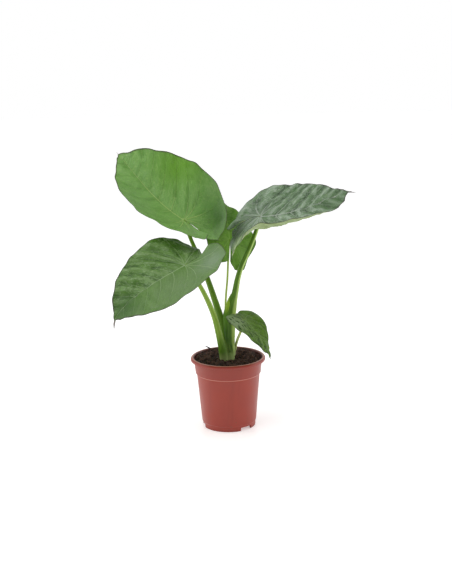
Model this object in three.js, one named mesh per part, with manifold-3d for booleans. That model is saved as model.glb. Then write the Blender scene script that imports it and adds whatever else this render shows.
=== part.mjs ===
// A potted alocasia: five heart-shaped leaves on round stalks that stand in dark potting soil,
// in a round plastic nursery pot with a rolled lip, a tapered collar and a notched foot.
//
// Units are millimetres and +Z is up. The origin is the centre of the pot's base, on the surface
// that the pot stands on. The front of the plant faces -Y, and its right is +X.

import * as THREE from 'three';
import Module from 'manifold-3d';
import { mergeVertices } from 'three/addons/utils/BufferGeometryUtils.js';

const wasm = await Module();
wasm.setup();

// ---------------------------------------------------------------- driving dimensions

const GAP = 0.35; // clearance between pieces that rest against each other

const POT = {
  height: 162,
  lipRadius: 85, // outside of the rolled lip
  lipHeight: 7.5,
  collarTopRadius: 77.6, // the collar is the band between the lip and the small step
  collarFootRadius: 74.5,
  stepHeight: 124.5,
  bodyTopRadius: 71.9,
  bodyFootRadius: 62.3,
  footHeight: 12,
  footRadius: 60.4,
  wall: 1.4,
  floor: 1.5,
  padRadius: 36, // flat middle of the base, which stands on the surface
  channelHeight: 8, // raised ring under the base that lets water run out
  ringWidth: 4.5, // foot ring outside the channel
  segments: 44,
};

const NOTCH = { count: 3, firstAngle: -50, width: 30, depth: 14, height: 8 };
const DRAIN = { count: 6, radius: 3.5, circle: 46, firstAngle: 10 };

const SOIL = {
  level: 156,
  rimLevel: 154.5, // the soil sinks a little where it meets the pot
  rise: 0.055, // how much higher it lies for each millimetre towards the back
  rings: 5,
  lumps: 18,
  lumpSize: [3, 5],
  seed: 9,
};

// A chip of bark stands up out of the soil behind the stalks, and a smaller one lies beside them.
const BARK = [
  { at: [-43, 59.5, 163.6], size: [24, 4.5, 2.6], turn: [8, 30, -6] },
  { at: [26, 65, 160.4], size: [8, 6, 5], turn: [12, -10, 20] },
];

const BLADE = {
  thickness: 0.9,
  ribDepth: 1.3, // extra depth of the midrib at the stalk, which fades out to the tip
  ribWidth: 3.2, // distance from the middle over which the midrib fades into the blade
  ribBehind: 16, // the thickened spot over the stalk ends this far behind it
  sinusDepth: 0.045, // how far behind the stalk the cut between the lobes ends, in leaf lengths
  threadHalfWidth: 0.7, // the fine point that the tip runs out into
  veinsAhead: 6, // side veins along the midrib, on each side
  fanAngle: 55, // direction of the first side vein, from the midrib
  fanStep: 21, // angle between the veins that fan out behind it
  veinSweep: 0.62, // how far a side vein runs forward for each millimetre sideways
};

// Each pair is [left half, right half], seen from the stalk towards the tip. Angles are degrees.
// lobe: length of the rear lobes, and lobeOut their distance from the middle, in leaf proportions.
// lobeShare: length of each lobe as a share of it.
// rise and droop bend the midrib, fold and camber bend the halves across it, and swing bends it
// sideways. lobeDroop and lobeCamber bend the rear lobes. wave is [height, count, phase].
const LEAVES = [
  {
    name: 'lower_left_leaf',
    length: 202, halfWidth: [108.3, 104], lobe: 0.42, lobeOut: 0.51,
    fullness: [0.14, -0.02], sinus: [0.02, 0.04], lobeShare: [0.96, 0.82], thread: 20,
    attach: [-89, -85, 391.7], azimuth: 217.2, elevation: -18, roll: -11.5,
    rise: -6.2, droop: -36.6, swing: -6.7, twist: -14.9,
    fold: [3.9, 9], camber: [10, 12.7], lobeDroop: [-45.7, 35.2], lobeCamber: [10.5, 4.4],
    wave: [[4.7, 2.97, -0.13], [-5, 3.58, 0.47]], pleat: 1.5,
    blade: 0x5c8a52, stalk: 0x83ad3f, marginSteps: 34, rings: 6,
    // [x, y, z, half width, half depth] from the buried end up to the blade
    path: [
      [-8, -9, 92, 10.4, 9], [-8.4, -9.5, 154, 10.4, 9], [-13.5, -13, 189, 8.9, 7.6],
      [-19.6, -20, 222, 7.7, 6.6], [-28.4, -28, 261, 6.2, 5.7], [-42, -38, 300.7, 5.5, 5.1],
      [-58.3, -50, 338, 4.8, 4.6], [-75, -67, 369, 4.3, 4.2], [-88.2, -84, 390.4, 3.9, 3.8],
    ],
  },
  {
    name: 'upper_left_leaf',
    length: 234, halfWidth: [112, 136], lobe: 0.37, lobeOut: 0.42,
    fullness: [-0.07, 0.21], sinus: [0, 0.05], lobeShare: [1, 1], thread: 9,
    attach: [-94.1, 50, 469.1], azimuth: 151.7, elevation: 25.8, roll: -18.8,
    rise: 34.4, droop: -30.7, swing: -17.1, twist: -25.8,
    fold: [8.1, 9.2], camber: [39.1, 13], lobeDroop: [-11.1, 45.7], lobeCamber: [-22.1, -43.8],
    wave: [[3.8, 3.8, 0.69], [-6, 4.52, 1.04]], pleat: 1.1,
    blade: 0x649a35, stalk: 0x5f9131, marginSteps: 34, rings: 6,
    path: [
      [1, 4, 92, 7.5, 7], [0.5, 4, 152, 7.5, 7], [-3.5, 4.5, 185, 7.4, 6.8],
      [-8.5, 6, 216, 7.6, 6.9], [-15.4, 8, 250, 8.1, 6.9], [-28, 13, 293, 6.9, 6.5],
      [-41, 20, 333, 6.2, 6], [-56, 30, 373, 5.3, 5.1], [-71.5, 39, 409, 4.6, 4.4],
      [-81, 44.5, 432, 4.3, 4.1], [-93.6, 49.8, 467.4, 3.9, 3.8],
    ],
  },
  {
    name: 'right_leaf',
    length: 202, halfWidth: [120, 111], lobe: 0.52, lobeOut: 0.56,
    fullness: [0.06, 0.10], sinus: [0.02, 0.02], lobeShare: [1, 1], thread: 13,
    attach: [78.4, -5, 482.1], azimuth: -12.6, elevation: 3.5, roll: 16,
    rise: 30, droop: -11.6, swing: 11.8, twist: 4.2,
    fold: [2.4, -19], camber: [16.5, 75], lobeDroop: [56.2, 75], lobeCamber: [-22.6, -60],
    wave: [[-2.5, 3.57, -0.33], [-4.3, 3.38, -0.52]], pleat: 2,
    blade: 0x64895f, stalk: 0x587f35, marginSteps: 34, rings: 6,
    path: [
      [6, -4, 92, 9.5, 9], [6, -4, 160, 9.5, 9], [9.4, -1.5, 170, 6.3, 8.4],
      [8.4, 0, 184, 7.2, 8.2], [5.4, 1, 206, 11.5, 8], [5, 2, 235, 13.2, 7.8],
      [5.4, 3, 256, 14.2, 7.5], [8.3, 4, 271, 12.9, 7.2], [12.3, 4.5, 288, 10.9, 6.9],
      [18, 5, 306, 7.5, 6.5], [25.5, 4, 342, 6.3, 6.1], [34.6, 2, 371, 5.5, 5.4],
      [45.7, 1, 395, 5.2, 5.1], [57, -1, 421, 4.9, 4.8], [66.3, -2, 445, 4.7, 4.6],
      [77.9, -4.8, 480.4, 4.2, 4.1],
    ],
  },
  {
    name: 'rear_leaf',
    length: 155, halfWidth: [71, 73], lobe: 0.45, lobeOut: 0.49,
    fullness: [0, -0.07], sinus: [0.05, 0.06], lobeShare: [1, 1], thread: 7,
    attach: [8.8, 115, 411.5], azimuth: 94.2, elevation: 49.3, roll: 31,
    rise: -33.5, droop: -4.5, swing: -3.8, twist: 3.6,
    fold: [6, 4.7], camber: [-4.3, -4], lobeDroop: [2.4, 32.8], lobeCamber: [-5.2, -39.8],
    wave: [[-2.6, 3.77, -0.06], [2.5, 4.84, 0.8]], pleat: 1,
    blade: 0x4d7f2a, stalk: 0x8ea73c, marginSteps: 28, rings: 5,
    path: [
      [-3, 20, 92, 2.6, 2.6], [-3, 20.5, 152, 2.6, 2.6], [-3.8, 24, 200, 2.5, 2.5],
      [-4.2, 32, 243, 2.4, 2.4], [-2.2, 48, 287, 2.4, 2.4], [2.2, 69, 327, 2.3, 2.3],
      [5, 91, 368, 2.3, 2.3], [8.6, 114.2, 410.2, 2.2, 2.2],
    ],
  },
  {
    name: 'small_front_leaf',
    length: 107, halfWidth: [54, 50], lobe: 0.32, lobeOut: 0.42,
    fullness: [-0.11, 0.01], sinus: [0.02, 0.02], lobeShare: [1, 1], thread: 4,
    attach: [39.1, -38, 256.4], azimuth: -39.3, elevation: -34.5, roll: -7.5,
    rise: -23.7, droop: -4.4, swing: 2.8, twist: -16.6,
    fold: [0.6, 1.1], camber: [11.6, -12.7], lobeDroop: [43.8, 31.8], lobeCamber: [-3.9, -7.7],
    wave: [[1.2, 3.68, -0.07], [1.1, 3.95, -0.27]], pleat: 0.7,
    blade: 0x4f7f3f, stalk: 0x8fae4a, marginSteps: 28, rings: 5,
    path: [
      [13, 17, 92, 3.3, 3.1], [13.5, 16.5, 152, 3.3, 3.1], [17.6, 10.5, 181, 3.2, 3],
      [22.2, -3, 201, 3.1, 2.9], [29.2, -20, 223, 2.9, 2.7], [38.3, -37.2, 255.2, 2.5, 2.4],
    ],
  },
];

// A stalk is drawn on past its blade's underside by the overrun, and is cut off there.
const STALK = { sides: 12, steps: 18, overrun: 4 };

const FINISH = {
  pot: { color: 0xb4553f, roughness: 0.42, metalness: 0 },
  soil: { color: 0x2b1d17, roughness: 0.95, metalness: 0 },
  bladeRoughness: 0.42,
  stalkRoughness: 0.45,
};

// ---------------------------------------------------------------- solids and booleans

const { degToRad, clamp, lerp, smoothstep } = THREE.MathUtils;

// Drops everything but the positions, welds them and leaves out triangles that have no area.
function weld(geometry) {
  const bare = geometry.clone();
  bare.deleteAttribute('normal');
  bare.deleteAttribute('uv');
  const merged = mergeVertices(bare, 1e-4);
  const index = [];
  for (let i = 0; i < merged.index.count; i += 3) {
    const [a, b, c] = [0, 1, 2].map((k) => merged.index.getX(i + k));
    if (a !== b && b !== c && c !== a) index.push(a, b, c);
  }
  merged.setIndex(index);
  return merged;
}

function toSolid(geometry) {
  const { attributes, index } = weld(geometry);
  return new wasm.Manifold(new wasm.Mesh({
    numProp: 3,
    vertProperties: new Float32Array(attributes.position.array),
    triVerts: new Uint32Array(index.array),
  }));
}

function toGeometry(solid) {
  const { vertProperties, triVerts } = solid.getMesh();
  const geometry = new THREE.BufferGeometry();
  geometry.setAttribute('position', new THREE.BufferAttribute(new Float32Array(vertProperties), 3));
  geometry.setIndex(new THREE.BufferAttribute(new Uint32Array(triVerts), 1));
  geometry.computeVertexNormals();
  return geometry;
}

function largestPiece(solid) {
  return solid.decompose().sort((a, b) => b.volume() - a.volume())[0];
}

function finishedMesh(name, geometry, { color, roughness, metalness = 0 }) {
  const material = new THREE.MeshStandardMaterial({ color, roughness, metalness, flatShading: true });
  const mesh = new THREE.Mesh(geometry, material);
  mesh.name = name;
  return mesh;
}

// A repeatable stream of numbers from 0 to 1.
function seededRandom(seed) {
  let state = seed;
  return () => {
    state = (state * 16807) % 2147483647;
    return (state - 1) / 2147483646;
  };
}

// ---------------------------------------------------------------- pot

function turned(profile, segments) {
  const points = profile.map(([radius, height]) => new THREE.Vector2(radius, height));
  return new THREE.LatheGeometry(points, segments).rotateX(Math.PI / 2);
}

function aroundAxis(angle, radius, geometry) {
  return geometry.translate(radius, 0, 0).rotateZ(degToRad(angle));
}

function potSolid() {
  const { height, lipRadius, lipHeight, wall, floor, channelHeight, ringWidth } = POT;
  const lipFoot = height - lipHeight;
  const crest = lipRadius - 4.4;
  const ringInner = POT.footRadius - ringWidth;
  const profile = [
    // underside, from the axis out to the foot ring
    [0, 0], [POT.padRadius, 0], [POT.padRadius + 2, channelHeight],
    [ringInner - 1, channelHeight], [ringInner, 0], [POT.footRadius - 1.6, 0],
    // outside, up to the lip
    [POT.footRadius - 0.5, 0.7], [POT.footRadius, 2.2], [POT.footRadius + 0.4, POT.footHeight - 1],
    [POT.bodyFootRadius, POT.footHeight + 1], [POT.bodyTopRadius, POT.stepHeight - 1],
    [POT.collarFootRadius, POT.stepHeight + 1], [POT.collarTopRadius, lipFoot],
    // the rolled lip, which is open underneath
    [POT.collarTopRadius + 0.7, height - 4], [lipRadius - 3.4, height - 2.2],
    [lipRadius - 1.8, height - 4.4], [lipRadius - 1.7, lipFoot], [lipRadius - 0.5, lipFoot],
    [lipRadius, lipFoot + 1.4], [lipRadius, height - 3.8], [lipRadius - 1, height - 1.7],
    [lipRadius - 2.6, height - 0.4], [crest, height], [crest - 2.1, height - 0.6],
    [crest - 3.5, height - 2.2],
    // inside, down to the floor
    [POT.collarTopRadius - wall, lipFoot - 1], [POT.collarFootRadius - wall, POT.stepHeight + 1.6],
    [POT.bodyTopRadius - wall, POT.stepHeight - 0.4], [POT.bodyFootRadius - wall, POT.footHeight + 2.5],
    [POT.bodyFootRadius - wall - 1.4, channelHeight + floor],
    [POT.padRadius + 2 - floor, channelHeight + floor], [POT.padRadius - floor, floor], [0, floor],
  ];
  let pot = toSolid(turned(profile, POT.segments));
  for (let i = 0; i < NOTCH.count; i += 1) {
    const block = new THREE.BoxGeometry(NOTCH.depth, NOTCH.width, 2 * NOTCH.height);
    const angle = NOTCH.firstAngle + (i * 360) / NOTCH.count;
    pot = pot.subtract(toSolid(aroundAxis(angle, POT.footRadius - ringWidth / 2, block)));
  }
  for (let i = 0; i < DRAIN.count; i += 1) {
    const drill = new THREE.CylinderGeometry(DRAIN.radius, DRAIN.radius, 4 * floor, 10);
    drill.rotateX(Math.PI / 2).translate(0, 0, channelHeight + floor / 2);
    const angle = DRAIN.firstAngle + (i * 360) / DRAIN.count;
    pot = pot.subtract(toSolid(aroundAxis(angle, DRAIN.circle, drill)));
  }
  return pot;
}

// ---------------------------------------------------------------- leaves

// Margin of one half, from the cut between the lobes round to the tip. side is 1 or -1.
function halfMargin(leaf, side) {
  const half = side > 0 ? 0 : 1;
  const { length, lobeOut } = leaf;
  const lobe = leaf.lobe * leaf.lobeShare[half];
  const full = leaf.fullness[half];
  const open = leaf.sinus[half];
  const width = side * leaf.halfWidth[half];
  const points = [
    [-BLADE.sinusDepth, 0], [-0.42 * lobe, 0.8 * open], [-0.78 * lobe, 1.1 * open + 0.02],
    [-0.97 * lobe, 0.55 * lobeOut + 0.02], [-lobe, lobeOut], [-0.86 * lobe, lobeOut + 0.27],
    [-0.45 * lobe, 0.90], [0, 1], [0.22, 0.98], [0.44, 0.84 * (1 + 0.4 * full)],
    [0.64, 0.62 * (1 + full)], [0.81, 0.37 * (1 + 1.6 * full)], [0.93, 0.15 * (1 + 2.2 * full)],
    [1, BLADE.threadHalfWidth / Math.abs(width)],
  ].map(([along, across]) => new THREE.Vector2(along * length, across * width));
  const curve = new THREE.SplineCurve(points);
  const steps = leaf.marginSteps;
  const margin = [];
  for (let i = 0; i <= steps; i += 1) {
    const share = i / steps;
    const { x, y } = curve.getPoint(share);
    margin.push({ x, y, share });
  }
  return margin;
}

// The whole margin as one closed loop: left half out to the tip, the thread, the right half back.
function wholeMargin(leaf) {
  const left = halfMargin(leaf, 1);
  const right = halfMargin(leaf, -1);
  const tip = { x: leaf.length + leaf.thread, y: 0, share: 1 };
  return [...left, tip, ...right.slice(1).reverse()];
}

// Running position along the bent midrib, in 1 % steps of the leaf's length.
function midribTable(leaf) {
  const table = [new THREE.Vector3()];
  const direction = (share) => {
    const up = degToRad(leaf.rise * share + leaf.droop * share ** 3);
    const aside = degToRad(leaf.swing * share);
    return new THREE.Vector3(Math.cos(up) * Math.cos(aside), Math.cos(up) * Math.sin(aside), Math.sin(up));
  };
  for (let i = 1; i <= 112; i += 1) {
    const step = direction((i - 1) / 100).add(direction(i / 100)).multiplyScalar(leaf.length / 200);
    table.push(table[i - 1].clone().add(step));
  }
  return table;
}

// Counts veins: whole numbers lie on a vein, ahead of the stalk and in the fan behind it.
function veinCount(leaf, x, y) {
  const start = (x - BLADE.veinSweep * Math.abs(y)) / leaf.length;
  if (start >= 0) return start * BLADE.veinsAhead;
  const angle = THREE.MathUtils.radToDeg(Math.atan2(Math.abs(y), x));
  return (BLADE.fanAngle - Math.max(angle, BLADE.fanAngle)) / BLADE.fanStep;
}

// Point of the blade's middle surface, in the leaf's own frame: x along the midrib, z up.
// reach is 0 at the stalk and 1 at the margin, and share runs along the margin to the tip.
function bladePoint(leaf, table, x, y, reach, share) {
  const side = y >= 0 ? 1 : -1;
  const leftness = smoothstep((2 * y) / (leaf.halfWidth[0] + leaf.halfWidth[1]), -0.08, 0.08);
  const blend = ([left, right]) => lerp(right, left, leftness);
  const halfWidth = leaf.halfWidth[side > 0 ? 0 : 1];
  const [waveHeight, waveCount, wavePhase] = leaf.wave[side > 0 ? 0 : 1];

  // The wave of the margin fades out at both its ends, and where the two halves meet.
  const fade = smoothstep(1 - share, 0, 0.12) * smoothstep(share, 0.1, 0.3)
    * (side > 0 ? leftness : 1 - leftness);
  const wave = waveHeight * fade * Math.sin(2 * Math.PI * waveCount * (1 - share) + wavePhase);
  const pleat = -leaf.pleat * Math.cos(2 * Math.PI * veinCount(leaf, x, y)) * smoothstep(reach, 0.1, 0.6);
  const lift = (wave + pleat * 0.5) * reach ** 2;

  const front = smoothstep(x / leaf.length, -0.30, 0.12);
  const fold = degToRad(blend(leaf.fold));
  let camber = degToRad(blend(leaf.camber) + (1 - front) * blend(leaf.lobeCamber));
  if (Math.abs(camber) < 1e-4) camber = 1e-4;
  const slope = fold + (camber * Math.abs(y)) / halfWidth;
  const across = (halfWidth / camber) * (Math.sin(slope) - Math.sin(fold));
  const height = (halfWidth / camber) * (Math.cos(fold) - Math.cos(slope));
  const lateral = side * (across - lift * Math.sin(slope));
  const raised = height + lift * Math.cos(slope);

  const place = new THREE.Vector3();
  let up = 0;
  let aside = 0;
  if (x >= 0) {
    const along = Math.min(x / leaf.length, 1.11);
    const cell = Math.min(Math.floor(along * 100), 110);
    place.lerpVectors(table[cell], table[cell + 1], along * 100 - cell);
    up = degToRad(leaf.rise * along + leaf.droop * along ** 3);
    aside = degToRad(leaf.swing * along);
  } else {
    let droop = degToRad(blend(leaf.lobeDroop));
    if (Math.abs(droop) < 1e-4) droop = 1e-4;
    const lobeLength = leaf.lobe * leaf.length;
    up = (droop * -x) / lobeLength;
    place.set((-lobeLength / droop) * Math.sin(up), 0, (-lobeLength / droop) * (1 - Math.cos(up)));
  }
  const twist = degToRad(leaf.twist) * clamp(x / leaf.length, -0.5, 1.1);
  const flat = new THREE.Vector3(-Math.sin(aside), Math.cos(aside), 0);
  const raise = new THREE.Vector3(
    -Math.sin(up) * Math.cos(aside), -Math.sin(up) * Math.sin(aside), Math.cos(up));
  const sideways = flat.clone().multiplyScalar(Math.cos(twist)).addScaledVector(raise, Math.sin(twist));
  const normal = raise.multiplyScalar(Math.cos(twist)).addScaledVector(flat, -Math.sin(twist));
  return place.addScaledVector(sideways, lateral).addScaledVector(normal, raised);
}

// The midrib stands out below the blade: deepest over the stalk, and gone at the tip.
function ribDepth(leaf, x, y) {
  const fade = x >= 0 ? 1 - x / leaf.length : 1 + x / BLADE.ribBehind;
  return BLADE.ribDepth * clamp(fade, 0, 1) * Math.exp(-((y / BLADE.ribWidth) ** 2));
}

// One closed solid: an upper and a lower face with the same triangles, joined round the margin.
function bladeGeometry(leaf, growth = 0) {
  const table = midribTable(leaf);
  const margin = wholeMargin(leaf);
  const count = margin.length;
  const probe = 1.5;
  const upper = [];
  const lower = [];
  const addPoint = (x, y, reach, share) => {
    const at = (dx, dy) => bladePoint(leaf, table, x + dx, y + dy, reach, share);
    const alongX = at(probe, 0).sub(at(-probe, 0));
    const alongY = at(0, probe).sub(at(0, -probe));
    const normal = alongX.cross(alongY).normalize();
    const middle = at(0, 0);
    const depth = BLADE.thickness / 2 + growth;
    upper.push(middle.clone().addScaledVector(normal, depth));
    lower.push(middle.clone().addScaledVector(normal, -depth - ribDepth(leaf, x, y)));
  };
  addPoint(0, 0, 0, 0.5);
  for (let ring = 1; ring <= leaf.rings; ring += 1) {
    const reach = (ring / leaf.rings) ** 0.9;
    for (const { x, y, share } of margin) addPoint(x * reach, y * reach, reach, share);
  }
  const face = [];
  const vertex = (ring, i) => 1 + (ring - 1) * count + (i % count);
  for (let i = 0; i < count; i += 1) face.push([0, vertex(1, i + 1), vertex(1, i)]);
  for (let ring = 1; ring < leaf.rings; ring += 1) {
    for (let i = 0; i < count; i += 1) {
      const [a, b] = [vertex(ring, i), vertex(ring, i + 1)];
      const [c, d] = [vertex(ring + 1, i), vertex(ring + 1, i + 1)];
      face.push([a, b, d], [a, d, c]);
    }
  }
  const below = upper.length;
  const index = [];
  for (const [a, b, c] of face) index.push(a, b, c, below + a, below + c, below + b);
  for (let i = 0; i < count; i += 1) {
    const [a, b] = [vertex(leaf.rings, i), vertex(leaf.rings, i + 1)];
    index.push(a, b, below + b, a, below + b, below + a);
  }
  const geometry = new THREE.BufferGeometry().setFromPoints([...upper, ...lower]);
  geometry.setIndex(index);
  geometry.computeVertexNormals();
  return geometry;
}

function placeBlade(mesh, leaf) {
  const along = new THREE.Vector3(1, 0, 0)
    .applyAxisAngle(new THREE.Vector3(0, 1, 0), degToRad(-leaf.elevation))
    .applyAxisAngle(new THREE.Vector3(0, 0, 1), degToRad(leaf.azimuth));
  const level = new THREE.Vector3(0, 1, 0).applyAxisAngle(new THREE.Vector3(0, 0, 1), degToRad(leaf.azimuth));
  const across = level.applyAxisAngle(along, degToRad(leaf.roll));
  const up = along.clone().cross(across);
  mesh.setRotationFromMatrix(new THREE.Matrix4().makeBasis(along, across, up));
  mesh.position.set(...leaf.attach);
  mesh.updateMatrixWorld();
  return mesh;
}

// A tapered stalk with an oval section. growth makes it thicker, and longer at its foot.
function stalkGeometry(leaf, growth = 0) {
  const centre = new THREE.CatmullRomCurve3(leaf.path.map(([x, y, z]) => new THREE.Vector3(x, y, z)));
  const last = leaf.path.length - 1;
  const size = (share, slot) => {
    const cell = Math.min(Math.floor(share * last), last - 1);
    return lerp(leaf.path[cell][slot], leaf.path[cell + 1][slot], share * last - cell) + growth;
  };
  const points = [];
  const addRing = (share, shift) => {
    const tangent = centre.getTangent(share);
    const middle = centre.getPoint(share).addScaledVector(tangent, shift);
    const side = new THREE.Vector3(0, 1, 0).cross(tangent).normalize();
    const depth = tangent.clone().cross(side);
    for (let k = 0; k < STALK.sides; k += 1) {
      const angle = (2 * Math.PI * k) / STALK.sides;
      points.push(middle.clone().addScaledVector(side, size(share, 3) * Math.cos(angle))
        .addScaledVector(depth, size(share, 4) * Math.sin(angle)));
    }
  };
  for (let i = 0; i <= STALK.steps; i += 1) {
    addRing(i / STALK.steps, i === 0 ? -growth : Number(i === STALK.steps) * STALK.overrun);
  }
  const index = [];
  const { sides, steps } = STALK;
  for (let i = 0; i < steps; i += 1) {
    for (let k = 0; k < sides; k += 1) {
      const [a, b] = [i * sides + k, i * sides + ((k + 1) % sides)];
      index.push(a, b, b + sides, a, b + sides, a + sides);
    }
  }
  for (let k = 1; k < sides - 1; k += 1) {
    index.push(0, k + 1, k);
    index.push(steps * sides, steps * sides + k, steps * sides + k + 1);
  }
  const geometry = new THREE.BufferGeometry().setFromPoints(points);
  geometry.setIndex(index);
  return geometry;
}

// ---------------------------------------------------------------- soil

function soilSolid(stalkHoles) {
  const random = seededRandom(SOIL.seed);
  const { wall, floor, channelHeight } = POT;
  const seat = wall + GAP;
  const edge = POT.collarTopRadius - seat - 0.5;
  const profile = [
    [0, floor + GAP], [POT.padRadius - floor - GAP, floor + GAP],
    [POT.padRadius + 2 - floor - GAP, channelHeight + floor + GAP],
    [POT.bodyFootRadius - seat - 1.6, channelHeight + floor + GAP],
    [POT.bodyFootRadius - seat - 0.1, POT.footHeight + 2.8],
    [POT.bodyTopRadius - seat - 0.1, POT.stepHeight],
    [POT.collarFootRadius - seat - 0.1, POT.stepHeight + 2.2], [edge, SOIL.rimLevel],
  ];
  for (let ring = SOIL.rings; ring >= 1; ring -= 1) {
    profile.push([(edge - 4) * (ring / (SOIL.rings + 1)) + 3, SOIL.level]);
  }
  profile.push([0, SOIL.level]);
  const bed = weld(turned(profile, POT.segments));
  const position = bed.attributes.position;
  for (let i = 0; i < position.count; i += 1) {
    const [x, y, z] = [position.getX(i), position.getY(i), position.getZ(i)];
    if (z < SOIL.rimLevel - 0.01) continue;
    const uneven = Math.sin(x * 0.11 + y * 0.07) + Math.sin(y * 0.16 - x * 0.05 + 2) + Math.sin(x * 0.31 + 1);
    const rough = z < SOIL.level - 0.01 ? 0 : 0.7 * uneven + 0.8 * (random() - 0.5);
    position.setZ(i, z + SOIL.rise * y + rough);
  }
  let soil = toSolid(bed);
  for (let i = 0; i < SOIL.lumps; i += 1) {
    const size = lerp(...SOIL.lumpSize, random());
    const lump = new THREE.IcosahedronGeometry(size, 0);
    lump.scale(1.3, 0.9, 0.62).rotateZ(random() * Math.PI).rotateX(0.5 * (random() - 0.5));
    const [angle, radius] = [random() * 360, lerp(24, edge - 8, Math.sqrt(random()))];
    lump.translate(0, 0, SOIL.level + SOIL.rise * radius * Math.sin(degToRad(angle)));
    soil = soil.add(toSolid(aroundAxis(angle, radius, lump)));
  }
  for (const { at, size, turn } of BARK) {
    const chip = new THREE.BoxGeometry(...size);
    chip.rotateX(degToRad(turn[0])).rotateY(degToRad(turn[1])).rotateZ(degToRad(turn[2])).translate(...at);
    soil = soil.add(toSolid(chip));
  }
  for (const hole of stalkHoles) soil = soil.subtract(hole);
  return largestPiece(soil);
}

// ---------------------------------------------------------------- assembly

const plant = new THREE.Group();
const grown = LEAVES.map((leaf) => toSolid(stalkGeometry(leaf, GAP)));

LEAVES.forEach((leaf, i) => {
  const bladeFinish = { color: leaf.blade, roughness: FINISH.bladeRoughness };
  const blade = placeBlade(finishedMesh(`${leaf.name}_blade`, bladeGeometry(leaf), bladeFinish), leaf);
  const around = bladeGeometry(leaf, GAP).applyMatrix4(blade.matrixWorld);
  // A stalk wraps round the ones before it in the clump, and ends just under its blade.
  const down = new THREE.Vector3(0, 0, -1).transformDirection(blade.matrixWorld);
  const seat = down.dot(blade.position) + BLADE.thickness / 2 + BLADE.ribDepth + GAP;
  let stalk = toSolid(stalkGeometry(leaf)).subtract(toSolid(around)).trimByPlane(down.toArray(), seat);
  for (const neighbour of grown.slice(0, i)) stalk = stalk.subtract(neighbour);
  const stalkFinish = { color: leaf.stalk, roughness: FINISH.stalkRoughness };
  plant.add(blade, finishedMesh(`${leaf.name}_petiole`, toGeometry(largestPiece(stalk)), stalkFinish));
});

const pot = new THREE.Group();
pot.add(finishedMesh('pot', toGeometry(potSolid()), FINISH.pot));
pot.add(finishedMesh('soil', toGeometry(soilSolid(grown)), FINISH.soil));

const pottedPlant = new THREE.Group();
pottedPlant.add(pot, plant);

export default pottedPlant;
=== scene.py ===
"""A potted alocasia: fine leaves, stalks, pot and potting mix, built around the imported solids.

The sizes of the leaves, the stalks and the pot are in millimetres, as a grower would measure them,
and become metres when a mesh is made. Sizes in the finishes are in metres. +Z is up, -Y is the
front, and the origin is the middle of the pot's base.
"""

import logging
import math
from dataclasses import dataclass, field
from enum import Enum

import bpy
import numpy as np
from mathutils import Matrix, Vector

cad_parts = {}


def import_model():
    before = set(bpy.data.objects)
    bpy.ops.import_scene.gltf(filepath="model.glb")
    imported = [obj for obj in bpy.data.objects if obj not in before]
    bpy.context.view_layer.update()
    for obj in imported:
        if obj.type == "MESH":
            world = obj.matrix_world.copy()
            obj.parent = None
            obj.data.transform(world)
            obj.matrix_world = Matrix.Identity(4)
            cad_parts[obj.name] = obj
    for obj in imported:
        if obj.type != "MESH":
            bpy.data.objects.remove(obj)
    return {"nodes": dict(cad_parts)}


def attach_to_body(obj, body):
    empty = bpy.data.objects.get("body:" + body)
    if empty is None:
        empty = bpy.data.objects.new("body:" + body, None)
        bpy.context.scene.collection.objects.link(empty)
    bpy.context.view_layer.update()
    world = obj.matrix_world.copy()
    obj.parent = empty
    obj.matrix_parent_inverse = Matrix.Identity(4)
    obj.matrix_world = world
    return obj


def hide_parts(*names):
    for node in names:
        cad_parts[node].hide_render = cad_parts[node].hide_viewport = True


LOG = logging.getLogger("potted_alocasia")
MM = 0.001
BODY = "root"
FLAT = 1e-4  # the least bend, in radians, that a curve is worked out with
TURN = 2 * np.pi
Colour = tuple[float, float, float]
Point = tuple[float, float, float]
Pair = tuple[float, float]
Face = tuple[int, ...]
Socket = bpy.types.NodeSocket
Tree = bpy.types.NodeTree
Material = bpy.types.Material
Piece = bpy.types.Object


# ---------------------------------------------------------------- small shared helpers


def tint(red: int, green: int, blue: int) -> Colour:
    """Turns a colour as seen on a screen, 0 to 255, into the linear one that shaders use, 0 to 1."""
    parts = (red / 255, green / 255, blue / 255)
    return tuple(p / 12.92 if p <= 0.04045 else ((p + 0.055) / 1.055) ** 2.4 for p in parts)


def shade(colour: Colour, factor: float) -> Colour:
    """Makes a colour darker or lighter, up to white."""
    return tuple(min(1.0, factor * part) for part in colour)


def ease(value: np.ndarray, low: float, high: float) -> np.ndarray:
    """Smooth step from 0 at low to 1 at high."""
    share = np.clip((value - low) / (high - low), 0.0, 1.0)
    return share * share * (3.0 - 2.0 * share)


def spline(points: np.ndarray, share: np.ndarray) -> np.ndarray:
    """Smooth curve through points, evenly spaced in the number of points.

    Args:
        points: the points that it passes through, one row each.
        share: places on it, from 0 to 1.

    Returns:
        One row for each place.
    """
    last = len(points) - 1
    run = last * np.asarray(share, float)
    cell = np.minimum(np.floor(run).astype(int), last - 1)
    part = (run - cell)[:, None]
    before, start = points[np.maximum(cell - 1, 0)], points[cell]
    end, after = points[cell + 1], points[np.minimum(cell + 2, last)]
    leave, arrive = (end - before) * 0.5, (after - start) * 0.5
    cubic = 2 * start - 2 * end + leave + arrive
    square = -3 * start + 3 * end - 2 * leave - arrive
    return cubic * part**3 + square * part**2 + leave * part + start


def unit(vectors: np.ndarray) -> np.ndarray:
    """Scales each row to length 1."""
    return vectors / np.maximum(np.linalg.norm(vectors, axis=-1, keepdims=True), 1e-12)


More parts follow.
